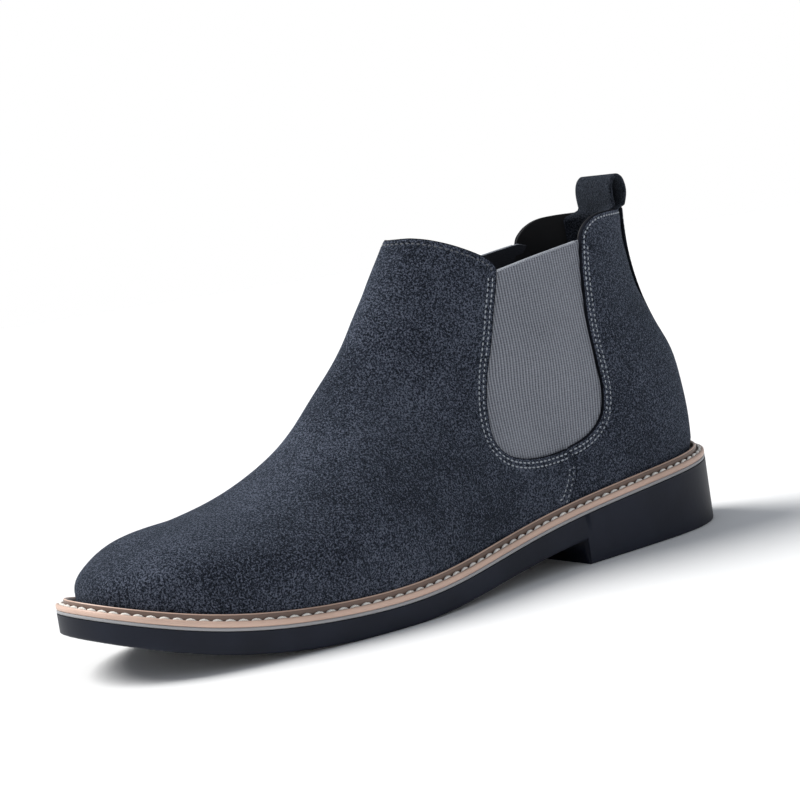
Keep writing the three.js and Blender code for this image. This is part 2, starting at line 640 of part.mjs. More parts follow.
// ---------------------------------------------------------------- pull tab
// Loop of strap standing on the back of the collar: an upside-down U seen from the side.
function pullTab() {
  const { front, back, foot, top } = TAB_LOOP;
  const arch = (y0, y1, peak) => {
    const radius = (y1 - y0) / 2;
    const centre = (y0 + y1) / 2;
    return spread(0, Math.PI, 9).map((angle) => [centre - radius * Math.cos(angle),
      peak - radius + radius * Math.sin(angle)]);
  };
  const outside = [[front, foot], ...arch(front, back, top), [back, foot]];
  const inside = [[back - TAB_THICKNESS, foot],
    ...arch(front + TAB_THICKNESS, back - TAB_THICKNESS, top - TAB_THICKNESS).reverse(),
    [front + TAB_THICKNESS, foot]];
  return fromSolid(sidePrism([...outside, ...inside].reverse(),
    SHAFT_MIDDLE_X - TAB_WIDTH / 2, SHAFT_MIDDLE_X + TAB_WIDTH / 2));
}

// The end of the strap sewn to the inside of the lining.
function pullTabEnd() {
  const half = TAB_WIDTH / 2;
  const [low, high] = TAB_SEWN;
  const outline = [[half, low], [half, high], [-half, high], [-half, low]];
  return fromSolid(shell(TAB_LINING).intersect(backPrism(outline, ...BEHIND_ANKLE)));
}

// ---------------------------------------------------------------- assembly
const finish = (color, roughness, metalness = 0) => (
  () => new THREE.MeshStandardMaterial({ color, roughness, metalness }));
const SUEDE_LOOK = finish(0x2d323c, 0.95);
const ELASTIC_LOOK = finish(0x5f6269, 0.85);
const LINING_LOOK = finish(0x17181b, 0.9);
const RUBBER_LOOK = finish(0x14161b, 0.6);

const [vamp, vampFlex, vampShaft] = frontPanel(suedeShell, 0);
const [liningVamp, liningFlex, liningShaft] = frontPanel(liningShell, LINING_SHIFT);
const PARTS = [
  ['outsole', outsole(), RUBBER_LOOK],
  ['heel_filler', heelFiller(), finish(0x8a8173, 0.9)],
  ['midsole', midsole(), finish(0xa9a7a5, 0.7)],
  ['welt', welt(), finish(0xb08a73, 0.6)],
  ['welt_stitching', weltStitching(), finish(0xe9e2d6, 0.8)],
  ['forepart_filler', layer(FOREPART_FILLER, WELT), finish(0x9c7448, 0.95)],
  ['shank', shank(), finish(0x9a9da1, 0.35, 1)],
  ['insole_board', layer(INSOLE_BOARD, INSOLE), finish(0xb39a78, 0.9)],
  ['footbed', layer(FOOTBED_PLAN, FOOTBED), LINING_LOOK],
  ['vamp', vamp, SUEDE_LOOK],
  ['vamp_instep', vampFlex, SUEDE_LOOK],
  ['vamp_shaft', vampShaft, SUEDE_LOOK],
  ['quarter_outer', rearPanel(suedeShell, GAP, 1), SUEDE_LOOK],
  ['quarter_inner', rearPanel(suedeShell, GAP, -1), SUEDE_LOOK],
  ['back_strip', backStrip(), SUEDE_LOOK],
  ['gore_outer', gore(1), ELASTIC_LOOK],
  ['gore_inner', gore(-1), ELASTIC_LOOK],
  ['toe_puff', toePuff(), finish(0xd8d4c8, 0.8)],
  ['heel_counter', heelCounter(), finish(0x9b8a70, 0.8)],
  ['lining_vamp', liningVamp, LINING_LOOK],
  ['lining_instep', liningFlex, LINING_LOOK],
  ['lining_shaft', liningShaft, LINING_LOOK],
  ['lining_quarter_outer', rearPanel(liningShell, LINING_SHIFT, 1), LINING_LOOK],
  ['lining_quarter_inner', rearPanel(liningShell, LINING_SHIFT, -1), LINING_LOOK],
  ['pull_tab', pullTab(), SUEDE_LOOK],
  ['pull_tab_end', pullTabEnd(), LINING_LOOK],
];

const boot = new THREE.Group();
for (const [name, geometry, look] of PARTS) {
  const mesh = new THREE.Mesh(geometry, look());
  mesh.name = name;
  boot.add(mesh);
}
export default boot;
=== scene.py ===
"""A left chelsea boot: suede upper, elastic gores, stitched storm welt, low moulded rubber heel.

Shapes are worked out in millimetres and turned into metres when a mesh is made. x runs to the
boot's outer side, y from toe to heel and z up, as in the CAD frame.
"""
import math

import bmesh
import bpy
import numpy as np
from mathutils import Matrix, Vector
from mathutils.geometry import delaunay_2d_cdt


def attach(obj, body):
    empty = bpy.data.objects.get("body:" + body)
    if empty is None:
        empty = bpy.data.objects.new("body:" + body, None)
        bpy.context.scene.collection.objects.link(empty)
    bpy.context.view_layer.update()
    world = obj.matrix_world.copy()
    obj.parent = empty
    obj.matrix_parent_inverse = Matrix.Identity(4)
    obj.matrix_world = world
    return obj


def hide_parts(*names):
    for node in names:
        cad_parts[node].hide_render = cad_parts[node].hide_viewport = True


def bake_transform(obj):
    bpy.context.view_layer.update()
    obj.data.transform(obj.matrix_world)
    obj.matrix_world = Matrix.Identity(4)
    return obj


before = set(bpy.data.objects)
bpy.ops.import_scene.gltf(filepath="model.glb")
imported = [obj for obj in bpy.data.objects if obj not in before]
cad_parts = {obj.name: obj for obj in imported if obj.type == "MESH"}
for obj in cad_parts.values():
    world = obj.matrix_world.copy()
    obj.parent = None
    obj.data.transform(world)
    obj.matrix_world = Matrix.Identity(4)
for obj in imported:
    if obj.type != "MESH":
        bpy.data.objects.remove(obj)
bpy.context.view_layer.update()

MM = 0.001

# ---------------- driving dimensions, in mm
HEEL_BREAST_Y = 61.5
MIDSOLE = (0.2, 1.6)            # from here to FOOTBED, heights are above the outsole's top edge
WELT = (1.65, 4.0)
WELT_FLOOR = 3.3                # floor of the groove that the welt's stitches lie in
RIB_TOP = 6.3
STITCH_INSET = 1.95             # the welt stitches' line, in from the sole's edge
STITCH_LIFT = 0.25
FEATHER_HEIGHT = 4.3            # bottom edge of the upper, above the outsole's top edge
FEATHER_INSET = 5.4
TOE_EXTRA_INSET = 2.2
HEEL_EXTRA_INSET = 1.2
FOOTBED = (6.9, 10.2)
FOOTBED_MARGIN = 6.0            # in from the upper's bottom edge
FOOTBED_DISH = 0.9
SUEDE_THICKNESS = 1.6
GORE_DEPTH = 1.9                # outer face of the elastic, below the suede's surface
GORE_THICKNESS = 1.1
GORE_SEAM = 6.0                 # elastic hidden under the suede's edge
LINING_DEPTH = 3.3
LINING_DEPTH_AT_TOP = 1.65      # at the top line the lining lies against the suede
LINING_THICKNESS = 1.0
SHAFT_MIDDLE_X = -2.0
TAB_WIDTH = 24.4

# Outsole edge from the toe tip round the outer side to the heel and back: x, y.
SOLE_EDGE = [
    (-6.5, -150), (22, -140), (40, -110), (49.5, -70), (51.5, -30), (43, 15), (36.5, 60), (32, 105),
    (19, 140), (-2, 150), (-24, 141), (-37, 108), (-36, 60), (-34, 15), (-44, -35), (-52, -75),
    (-48, -110), (-31, -138),
]
SOLE_TOP = ([-150, -110, -60, -10, 40, 90, 150], [26.6, 15.1, 8.8, 9.8, 17.2, 22.8, 27.0])
TREAD = ([-150, -110, -60, -10, 40, 90], [18.8, 6.4, 0.1, 1.3, 8.0, 12.6])

# Cross-sections of the upper: ridge y and z, lean in degrees, ridge x, width past the bottom edge
# (or, from RING on, the half width itself), share of the way down at the widest, squareness.
SECTIONS = [
    (None, None, 90, -3.7, 0, 0.50, 2.0),
    (-140, 37.5, 90, -4.1, 0, 0.50, 2.0),
    (-130, 43.0, 90, -4.5, 0.2, 0.50, 2.0),
    (-115, 48.3, 90, -4.8, 1.2, 0.50, 2.0),
    (-95, 51.0, 90, -4.6, 2.0, 0.54, 2.0),
    (-75, 54.5, 88, -3.8, 2.2, 0.60, 2.0),
    (-56.4, 63.0, 77, -3.2, 2.2, 0.66, 2.0),
    (-41.5, 74.7, 60, -2.6, 2.0, 0.70, 2.0),
    (-29.2, 87.2, 42, -2, 2.0, 0.70, 2.1),
    (-18, 99.0, 30.5, -2, 2.4, 0.66, 2.5),
    (-9.2, 110.6, 23.5, -2, 32.5, 0.60, 2.9),
    (-2, 120.0, 17.5, -2, 30, 0.57, 2.6),
    (3.6, 128.0, 12, -2, 27.5, 0.55, 2.3),
    (8.6, 135.0, 7, -2, 25.5, 0.55, 2.2),
    (13, 141.5, 2.5, -2, 24.5, 0.55, 2.2),
]
RING = 10
ABOVE_COLLAR = 160.0
BACK = ([45, 60, 75, 90, 105, 120, 140], [143.9, 143.3, 140.6, 133.8, 128.8, 126.4, 126.4])

# Edges of the panels, seen from the side: y, z.
GORE_EDGE = [
    (46, 123), (43, 114), (38.9, 103), (35, 92), (31, 78), (28.3, 66), (28.2, 57), (33, 50.5), (42, 47),
    (54, 46), (66, 47.3), (76, 50.5), (82.5, 57), (84.3, 67), (83.8, 80), (84, 94), (85.8, 107),
    (88, 118), (90.5, 128.3),
]
FRONT_TOP = [
    (46, 123), (45.3, 125.6), (42, 129), (34.5, 133.6), (27.3, 137.2), (20, 140), (13, 141.2), (-10, 142),
]
GORE_TOP = [(46, 122.6), (66, 125.6), (90.5, 128.3)]
QUARTER_TOP = [
    (90.5, 128.3), (91.6, 131), (95.3, 134.3), (101, 136.6), (109, 137.2), (126, 136.8), (160, 136.8),
]
SIDE_SEAM = [(62.5, 46.6), (64.8, 42.5), (65, 38), (63, 33), (59.5, 27.5), (55, 20), (51, 10)]
# Half width of the strip over the back seam, by height.
BACK_STRIP = [(9.5, 135.6), (8.5, 120), (7.2, 100), (6.2, 84), (5.2, 72), (3.4, 66.5), (0, 65)]


# ---------------- curves
def spline(xs, ys, flat_start=False, closed=False):
    """Natural cubic spline, as a function of x; level at its first point or closed if asked."""
    xs, ys = np.asarray(xs, float), np.asarray(ys, float)
    n = len(xs)
    h = np.diff(xs)
    rise = np.diff(ys) / h
    rows, values = np.zeros((n, n)), np.zeros(n)
    for i in range(1, n - 1):
        rows[i, i - 1:i + 2] = h[i - 1], 2 * (h[i - 1] + h[i]), h[i]
        values[i] = 6 * (rise[i] - rise[i - 1])
    rows[0, 0] = rows[-1, -1] = 1
    if flat_start:
        rows[0, :2] = 2 * h[0], h[0]
        values[0] = 6 * rise[0]
    if closed:
        rows[0, -1] = -1
        rows[-1, 0], rows[-1, 1], rows[-1, -2], rows[-1, -1] = 2 * h[0], h[0], h[-1], 2 * h[-1]
        values[-1] = 6 * (rise[0] - rise[-1])
    bend = np.linalg.solve(rows, values)

    def read(x):
        x = np.asarray(x, float)
        i = np.clip(np.searchsorted(xs, x) - 1, 0, n - 2)
        a, b = xs[i + 1] - x, x - xs[i]
        return ((bend[i] * a**3 + bend[i + 1] * b**3) / (6 * h[i])
                + (ys[i] / h[i] - bend[i] * h[i] / 6) * a + (ys[i + 1] / h[i] - bend[i + 1] * h[i] / 6) * b)
    return read


def curve(points, per_span=12):
    """Smooth curve through all the points (uniform Catmull-Rom), as an array of points."""
    p = np.asarray(points, float)
    padded = np.vstack([p[:1], p, p[-1:]])
    share = np.linspace(0, 1, per_span, endpoint=False)[:, None]
    spans = []
    for a, b, c, d in zip(padded, padded[1:], padded[2:], padded[3:]):
        enter, leave = (c - a) / 2, (d - b) / 2
        spans.append((2 * b - 2 * c + enter + leave) * share**3
                     + (3 * c - 3 * b - 2 * enter - leave) * share**2 + enter * share + b)
    return np.vstack(spans + [p[-1:]])


def root(f, low, high, steps=44):
    """Where f changes sign between low and high, for arrays."""
    low, high = np.array(low, float), np.array(high, float)
    sign = np.sign(f(low))
    for _ in range(steps):
        middle = (low + high) / 2
        same = np.sign(f(middle)) == sign
        low, high = np.where(same, middle, low), np.where(same, high, middle)
    return (low + high) / 2


def smooth(x, low, high):
    share = np.clip((np.asarray(x, float) - low) / (high - low), 0, 1)
    return share * share * (3 - 2 * share)


def lengths(points):
    """Distance along a line of points to each of them."""
    return np.r_[0, np.cumsum(np.linalg.norm(np.diff(points, axis=0), axis=1))]


def unit(vectors):
    return vectors / np.maximum(np.linalg.norm(vectors, axis=-1, keepdims=True), 1e-12)


def round_loop(points):
    """Directions along a closed loop at each of its points."""
    return unit(np.roll(points, -1, axis=0) - np.roll(points, 1, axis=0))


def closed(loop):
    return np.vstack([loop, loop[:1]])


# ---------------- sole edge
edge_loop = closed(np.array(SOLE_EDGE, float))
edge_at = lengths(edge_loop)
EDGE_LENGTH = edge_at[-1]
edge_x = spline(edge_at, edge_loop[:, 0], closed=True)
edge_y = spline(edge_at, edge_loop[:, 1], closed=True)
sole_top = spline(*SOLE_TOP)
tread_curve = spline(*TREAD)


def around(count):
    """Distances along the sole's edge, evenly all the way round."""
    return EDGE_LENGTH * np.arange(count) / count


def edge_point(u, inset):
    """Points of the sole's edge at distance u along it, moved in by inset."""
    step = 0.5
    dx = edge_x((u + step) % EDGE_LENGTH) - edge_x((u - step) % EDGE_LENGTH)
    dy = edge_y((u + step) % EDGE_LENGTH) - edge_y((u - step) % EDGE_LENGTH)
    size = np.hypot(dx, dy)
    u = u % EDGE_LENGTH
    return np.stack([edge_x(u) - dy / size * inset, edge_y(u) + dx / size * inset], -1)


def feather_inset(y):
    return FEATHER_INSET + TOE_EXTRA_INSET * smooth(-y, 100, 150) + HEEL_EXTRA_INSET * smooth(y, 90, 150)


feather_u = around(1200)
feather_loop = edge_point(feather_u, feather_inset(edge_y(feather_u)))
TOE_AT, HEEL_AT = np.argmin(feather_loop[:, 1]), np.argmax(feather_loop[:, 1])
FEATHER_TOE, FEATHER_HEEL = feather_loop[TOE_AT, 1], feather_loop[HEEL_AT, 1]
from_toe = np.roll(feather_loop, -TOE_AT, axis=0)
heel_index = (HEEL_AT - TOE_AT) % len(feather_loop)
FEATHER_SIDES = {
    1: from_toe[:heel_index + 1],
    -1: np.vstack([from_toe[:1], from_toe[:heel_index - 1:-1]]),
}


def feather_x(side, y):
    """x of the upper's bottom edge on one side, 1 outer or -1 inner."""
    line = FEATHER_SIDES[side]
    return np.interp(y, line[:, 1], line[:, 0])


def feather_z(y):
    return sole_top(y) + FEATHER_HEIGHT


# ---------------- surface of the upper
# A point is (s, t): t counts the sections from the toe, s runs from 0 on the ridge to +1 at the
# bottom edge of the outer side or -1 of the inner side. Behind the heel point +1 and -1 meet.
numbers = np.arange(len(SECTIONS))
table = [list(row) for row in SECTIONS]
table[0][:2] = FEATHER_TOE, float(feather_z(FEATHER_TOE))
ridge_y = spline(numbers, [row[0] for row in table], flat_start=True)
ridge_z = spline(numbers, [row[1] for row in table])
lean_at = spline(numbers, [row[2] for row in table], flat_start=True)
centre_at = spline(numbers, [row[3] for row in table])
widest_at = spline(numbers, [row[5] for row in table])
square_at = spline(numbers, [row[6] for row in table])
HEEL_Z = float(feather_z(FEATHER_HEEL))
back_y = spline([HEEL_Z] + BACK[0], [FEATHER_HEEL] + BACK[1])


def off_line(t, y, z):
    """How far (y, z) lies to one side of the section line at t; its sign tells the side."""
    lean = np.radians(lean_at(t))
    return -(y - ridge_y(t)) * np.sin(lean) - (z - ridge_z(t)) * np.cos(lean)


HEEL_T = float(root(lambda t: off_line(t, FEATHER_HEEL, HEEL_Z), 8, 11))


def section_ends(t):
    """Lower end (y, z) of the section at t: on the sole, or on the back of the ankle."""
    on_sole = t < HEEL_T
    y = root(lambda v: off_line(t, v, feather_z(v)), np.maximum(FEATHER_TOE, ridge_y(t) - 3), FEATHER_HEEL)
    z = root(lambda v: off_line(t, back_y(v), v), HEEL_Z, ABOVE_COLLAR)
    return np.where(on_sole, y, back_y(z)), np.where(on_sole, feather_z(y), z)


def half_widths(side):
    t = np.array(numbers, float)
    end_y, _ = section_ends(t)
    past = np.array([row[4] for row in table], float)
    on_edge = side * (feather_x(side, end_y) - centre_at(t)) + past
    widths = np.where(numbers >= RING, past, on_edge)
    widths[0] = 0
    return widths


width_at = {side: spline(numbers, half_widths(side)) for side in (1, -1)}


def surface(st):
    s, t = st[:, 0], np.maximum(st[:, 1], 0)
    s = np.where(s > 1, s - 2, np.where(s < -1, s + 2, s))
    side = np.where(s < 0, -1, 1)
    share = (1 - np.cos(np.pi * np.abs(s))) / 2
    top_y, top_z, centre = ridge_y(t), ridge_z(t), centre_at(t)
    widest, square = widest_at(t), square_at(t)
    end_y, end_z = section_ends(t)
    end_y, end_z = np.where(t > 0, end_y, top_y), np.where(t > 0, end_z, top_z)
    width = np.maximum(np.where(side > 0, width_at[1](t), width_at[-1](t)), 1e-6)
    foot = side * (np.where(side > 0, feather_x(1, end_y), feather_x(-1, end_y)) - centre)
    foot = np.clip(np.where((t > 0) & (t < HEEL_T), foot, 0), 0, width * 0.9995)
    upper = width * np.sqrt(np.maximum(0, 1 - (1 - share / widest)**2))
    closing = (1 - widest) / (1 - (foot / width)**2)**(1 / square)
    below = np.maximum(share - widest, 0) / closing
    lower = width * np.sqrt(np.maximum(0, 1 - below**square))
    across = np.where(np.abs(s) == 1, foot, np.where(share < widest, upper, lower))
    down = np.stack([top_y + (end_y - top_y) * share, top_z + (end_z - top_z) * share], 1)
    return np.column_stack([centre + side * across, down])


def slopes(st, step=0.006):
    """How the surface point moves with s and with t."""
    s, t = st.T
    s_low, s_high = (np.where(t < HEEL_T, np.clip(v, -1, 1), v) for v in (s - step, s + step))
    t_low, t_high = np.maximum(t - step, 0), t + step
    along_s = surface(np.c_[s_high, t]) - surface(np.c_[s_low, t])
    along_t = surface(np.c_[s, t_high]) - surface(np.c_[s, t_low])
    return along_s / (s_high - s_low)[:, None], along_t / (t_high - t_low)[:, None]


def normals(st):
    along_s, along_t = slopes(st)
    return np.where(st[:, 1:] < 0.02, [0, -1, 0], unit(np.cross(along_s, along_t)))


def walk(st, vectors):
    """Moves points over the surface by vectors given in x, y, z."""
    a, b = slopes(st)
    aa, ab, bb = (a * a).sum(1), (a * b).sum(1), (b * b).sum(1)
    va, vb = (a * vectors).sum(1), (b * vectors).sum(1)
    size = np.maximum(aa * bb - ab * ab, 1e-9)
    return st + np.stack([(va * bb - vb * ab) / size, (vb * aa - va * ab) / size], 1)


def inward(st):
    """Directions over the surface to the left of a path, seen from outside."""
    points = surface(st)
    along = unit(np.gradient(points, axis=0))
    return unit(np.cross(normals(st), along))


def beside(st, distance):
    return walk(st, inward(st) * distance)


def locate(yz, side=1):
    """(s, t) of surface points given by their y and z."""
    y, z = np.asarray(yz, float).T
    t = root(lambda v: off_line(v, y, z), 0.001, len(SECTIONS) + 0.2)
    end_y, end_z = section_ends(t)
    whole = np.hypot(end_y - ridge_y(t), end_z - ridge_z(t))
    share = np.hypot(y - ridge_y(t), z - ridge_z(t)) / whole
    return np.stack([side * np.arccos(1 - 2 * np.clip(share, 0, 1)) / np.pi, t], 1)


def level_path(s, line):
    """(s, t) where the surface meets a top line given as z over y."""
    line = line[np.argsort(line[:, 0])]

    def over(t):
        p = surface(np.stack([s, t], 1))
        return p[:, 2] - np.interp(p[:, 1], line[:, 0], line[:, 1])
    return np.stack([s, root(over, np.full_like(s, RING), np.full_like(s, len(SECTIONS) - 0.5))], 1)


def spread(line, at, even):
    """Points of a line, whose own points lie at distances at, read at even distances."""
    return np.stack([np.interp(even, at, values) for values in line.T], 1)


def resample(st, spacing=1.0):
    """The same path with points an even distance apart."""
    at = lengths(surface(st))
    count = max(2, round(at[-1] / spacing) + 1)
    return spread(st, at, np.linspace(0, at[-1], count))


def trimmed(path, start, end):
    """A path without its first start and last end millimetres."""
    at = lengths(surface(path))
    return path[(at >= start) & (at <= at[-1] - end)]


def mirrored(st):
    """The same path on the other side, running the other way."""
    return (st * (-1, 1))[::-1]


def both_sides(paths):
    return list(paths) + [mirrored(p) for p in paths]


def flipped(parts):
    """An outline of (path, visible) parts on the other side."""
    return [(mirrored(path), visible) for path, visible in parts[::-1]]


# ---------------- paths over the upper
gore_line = curve(GORE_EDGE)
lowest = int(np.argmin(gore_line[:, 1]))
split = lowest + int(np.argmax(gore_line[lowest:, 0] > SIDE_SEAM[0][0]))
seam_line = curve(SIDE_SEAM)
seam_line = seam_line[seam_line[:, 1] > feather_z(seam_line[:, 0]) + 0.05]

SEAM = locate(seam_line)                                # from the gore down to the sole
GORE_FRONT = locate(gore_line[:split + 1][::-1])        # from the seam round the front, up
GORE_BACK = locate(gore_line[split:])                   # from the seam up the back


def top_path(line, steep, end_s, count):
    """A top line on the surface. Its steep start is found from y and z, the rest from z over y."""
    start = locate(line[steep])
    s = start[-1, 0]
    return np.vstack([start, level_path(np.linspace(s + math.copysign(0.01, end_s - s), end_s, count), line)])


front_top_line, quarter_top_line = curve(FRONT_TOP), curve(QUARTER_TOP)
FRONT_TOP_PATH = top_path(front_top_line, front_top_line[:, 0] > 30, 0, 40)
QUARTER_TOP_PATH = top_path(quarter_top_line, quarter_top_line[:, 0] < 105, 1, 30)
FOOT_T, TOP_T = SEAM[-1, 1], QUARTER_TOP_PATH[-1, 1]
SEAM = np.vstack([SEAM, [(1.0, FOOT_T)]])


# ---------------- meshes
def make_object(name, points, faces, materials, face_material=None, sharp=None):
    """A smooth-shaded mesh object from points in mm."""
    mesh = bpy.data.meshes.new(name)
    mesh.from_pydata((np.asarray(points) * MM).tolist(), [], [list(map(int, f)) for f in faces])
    for material in materials if isinstance(materials, list) else [materials]:
        mesh.materials.append(material)
    if face_material is not None:
        mesh.polygons.foreach_set("material_index", np.asarray(face_material, np.int32))
    mesh.shade_smooth()
    if sharp is not None:
        mesh.set_sharp_from_angle(angle=math.radians(sharp))
    mesh.validate()
    obj = bpy.data.objects.new(name, mesh)
    bpy.context.scene.collection.objects.link(obj)
    return obj


def inside(points, loop):
    """Which 2D points lie inside a closed loop."""
    x, y = points.T
    odd = np.zeros(len(points), bool)
    for a, b in zip(loop, np.roll(loop, -1, axis=0)):
        if a[1] != b[1]:
            crosses = (a[1] > y) != (b[1] > y)
            odd ^= crosses & (x < (b[0] - a[0]) * (y - a[1]) / (b[1] - a[1]) + a[0])
    return odd


def distance_to(points, line, chunk=2000):
    """Distance from points to the nearest segment of a line, in 2D or 3D."""
    a, d = line[:-1], np.diff(line, axis=0)
    size = np.maximum((d * d).sum(1), 1e-12)
    out = []
    for i in range(0, len(points), chunk):
        p = points[i:i + chunk, None]
        share = np.clip(((p - a) * d).sum(-1) / size, 0, 1)
        out.append(np.linalg.norm(p - a - share[..., None] * d, axis=-1).min(1))
    return np.concatenate(out) if out else np.zeros(0)


def fill(loop, inner, clear):
    """Triangles that fill a closed 2D loop, and their points: the loop's, then the inner points
    that lie inside it and clear of its edge."""
    inner = inner[inside(inner, loop)]
    inner = inner[distance_to(inner, closed(loop)) > clear]
    points = np.vstack([loop, inner])
    edges = [(i, (i + 1) % len(loop)) for i in range(len(loop))]
    result = delaunay_2d_cdt([Vector(p) for p in points], edges, [], 0, 1e-7, True)
    source = np.array([min(ids) for ids in result[3]])
    triangles = source[np.array(result[2])]
    return points, triangles[inside(points[triangles].mean(1), loop)]


def fill_evenly(loop, step_x, step_y, clear):
    """The same, with a regular grid of inner points."""
    low, high = loop.min(0), loop.max(0)
    grid = np.meshgrid(np.arange(low[0], high[0], step_x), np.arange(low[1], high[1], step_y))
    return fill(loop, np.stack(grid, -1).reshape(-1, 2), clear)


# (s, t) times these is about the length in mm, which keeps the triangles well shaped.
SPREAD = np.array([75.0, 15.0])
RIM = [(0.18, 0.03), (0.36, 0.14), (0.45, 0.36)]        # rounded edge of a sheet: outward, down
OUTLINE_STEP = 1.2
GUIDE_OFFSETS = (-0.75, -0.38, 0, 0.38, 0.75)           # lines of points beside a guide
GUIDE_CLEAR = 1.3               # the even grid stops this far from a guide


def sheet(outer, inner, triangles, loop_size, outward, rounding, thickness):
    """Closed sheet: outer and inner skins, and a rounded rim round the first loop_size points."""
    n = len(outer)
    faces = [tuple(f) for f in triangles] + [(c + n, b + n, a + n) for a, b, c in triangles]
    profile = RIM + [(b, thickness - h) for b, h in reversed(RIM)]
    edge, down = outer[:loop_size], inner[:loop_size] - outer[:loop_size]
    rings = [edge + outward * (b * rounding)[:, None] + down * (h / thickness) for b, h in profile]
    points = np.vstack([outer, inner] + rings)
    starts = [0, *(2 * n + k * loop_size for k in range(len(rings))), n]
    order = [start + np.arange(loop_size) for start in starts]
    for above, below in zip(order, order[1:]):
        for i in range(loop_size):
            j = (i + 1) % loop_size
            faces.append((above[j], above[i], below[i], below[j]))
    return points, faces


def clean(obj, distance=0.004):
    """Joins points that coincide, as at the toe tip."""
    mesh = bmesh.new()
    mesh.from_mesh(obj.data)
    bmesh.ops.remove_doubles(mesh, verts=mesh.verts, dist=distance * MM)
    bmesh.ops.dissolve_degenerate(mesh, edges=mesh.edges, dist=distance * MM)
    mesh.to_mesh(obj.data)
    mesh.free()


def tube_faces(rings, sides):
    """Faces of a closed tube."""
    faces = []
    last = (rings - 1) * sides
    for start in range(0, last, sides):
        for side in range(sides):
            a, b = start + side, start + (side + 1) % sides
            faces.append((a, b, b + sides, a + sides))
    return faces + [tuple(range(sides))[::-1], tuple(range(last, last + sides))]


def panel(name, parts, depth, thickness, material, edge_material, guides=(), step=1.9):
    """A panel of the upper. parts are (path, visible) pieces of its outline, anticlockwise from
    outside; depth(points) is how far its outer face lies above the upper's surface; guides are
    paths along which the mesh is finer."""
    pieces = [(resample(path, OUTLINE_STEP), visible) for path, visible in parts]
    loop = np.vstack([path[:-1] for path, _ in pieces])
    rounding = np.concatenate([np.full(len(path) - 1, float(visible)) for path, visible in pieces])
    s = np.arange(-1.3, 1.31, step / SPREAD[0])         # the back strip reaches past the back's centre line
    t = np.arange(0.06, len(SECTIONS), step / SPREAD[1])
    grid = np.stack(np.meshgrid(s, t), -1).reshape(-1, 2)
    lines = []
    for guide in guides:
        grid = grid[distance_to(grid * SPREAD, guide * SPREAD) > GUIDE_CLEAR]
        lines += [beside(resample(guide), off) for off in GUIDE_OFFSETS]
    inner = np.vstack([grid] + lines)
    flat, triangles = fill(loop * SPREAD, inner * SPREAD, 0.5)
    st = flat / SPREAD
    base, normal = surface(st), normals(st)
    height = depth(base)
    outer = base + normal * height[:, None]
    bottom = base + normal * (height - thickness)[:, None]
    size = len(loop)
    outward = unit(np.cross(round_loop(outer[:size]), normal[:size]))
    points, faces = sheet(outer, bottom, triangles, size, outward, rounding, thickness)
    # Rim faces take edge_material; on the suede panels that dark edge is partly painted shade.
    shades = np.arange(len(faces)) >= 2 * len(triangles)
    obj = make_object(name, points, faces, [material, edge_material], shades)
    clean(obj)
    return obj


def near(points, paths, reach):
    """1 on any of the paths over the surface, falling to 0 at reach mm from them."""
    return np.max([1 - smooth(distance_to(points, surface(path)), 0, reach) for path in paths], axis=0)


# ---------------- stitches
def capsule(rings=5, sides=6):
    """Closed spindle from x = -1/2 to 1/2 with radius 1."""
    points, faces = [(-0.5, 0, 0)], []
    for k in range(rings):
        angle = math.pi * (k + 0.7) / (rings + 0.4)
        for j in range(sides):
            turn = 2 * math.pi * j / sides
            radius = math.sin(angle)**0.6
            points.append((-math.cos(angle) / 2, radius * math.cos(turn), radius * math.sin(turn)))
    points.append((0.5, 0, 0))
    last = len(points) - 1
    for j in range(sides):
        k = (j + 1) % sides
        faces.append((0, 1 + k, 1 + j))
        for ring in range(rings - 1):
            a, b = 1 + ring * sides, 1 + (ring + 1) * sides
            faces.append((a + j, a + k, b + k, b + j))
        faces.append((last, last - sides + j, last - sides + k))
    return np.array(points), np.array([f + (f[-1],) * (4 - len(f)) for f in faces])


CAPSULE, CAPSULE_FACES = capsule()


def thread_row(points, up, pitch, length, radius, sink=0.25, slant=0.0):
    """One stitch after another along a line: points and faces. Their ends dip by sink mm, and slant
    turns them across the line."""
    at = lengths(points)
    count = int(at[-1] / pitch)
    middles = (np.arange(count) + 0.5) * at[-1] / max(count, 1)
    centre = spread(points, at, middles)
    along = unit(spread(points, at, middles + length / 2) - spread(points, at, middles - length / 2))
    normal = unit(spread(up, at, middles))
    across = unit(np.cross(normal, along))
    along = unit(along + across * slant)
    across = unit(np.cross(normal, along))
    x, y, z = CAPSULE.T
    arch = -sink * (2 * x)**2
    verts = (centre[:, None] + along[:, None] * (x * length)[None, :, None]
             + across[:, None] * (y * radius)[None, :, None]
             + normal[:, None] * (z * radius * 0.8 + arch)[None, :, None])
    faces = CAPSULE_FACES[None] + (np.arange(count) * len(CAPSULE))[:, None, None]
    return verts.reshape(-1, 3), faces.reshape(-1, 4)


def thread_object(name, rows, material):
    """Several rows of stitches as one mesh."""
    points, faces, start = [], [], 0
    for row_points, row_faces in rows:
        points.append(row_points)
        faces += [tuple(dict.fromkeys(f + start)) for f in row_faces]
        start += len(row_points)
    return make_object(name, np.vstack(points), faces, material)


def seam_row(path, depth, pitch=2.15, length=1.5, radius=0.37, lift=0.1):
    """A row of stitches along a path over the upper."""
    path = resample(path)
    base, normal = surface(path), normals(path)
    return thread_row(base + normal * (depth(base) + lift)[:, None], normal, pitch, length, radius)


# ---------------- materials
def material(name, rough, **sockets):
    """New material and its Principled shader."""
    made = bpy.data.materials.new(name)
    made.use_nodes = True
    shader = made.node_tree.nodes["Principled BSDF"]
    shader.inputs["Roughness"].default_value = rough
    for key, value in sockets.items():
        shader.inputs[key.replace("_", " ")].default_value = value
    return made, made.node_tree, shader


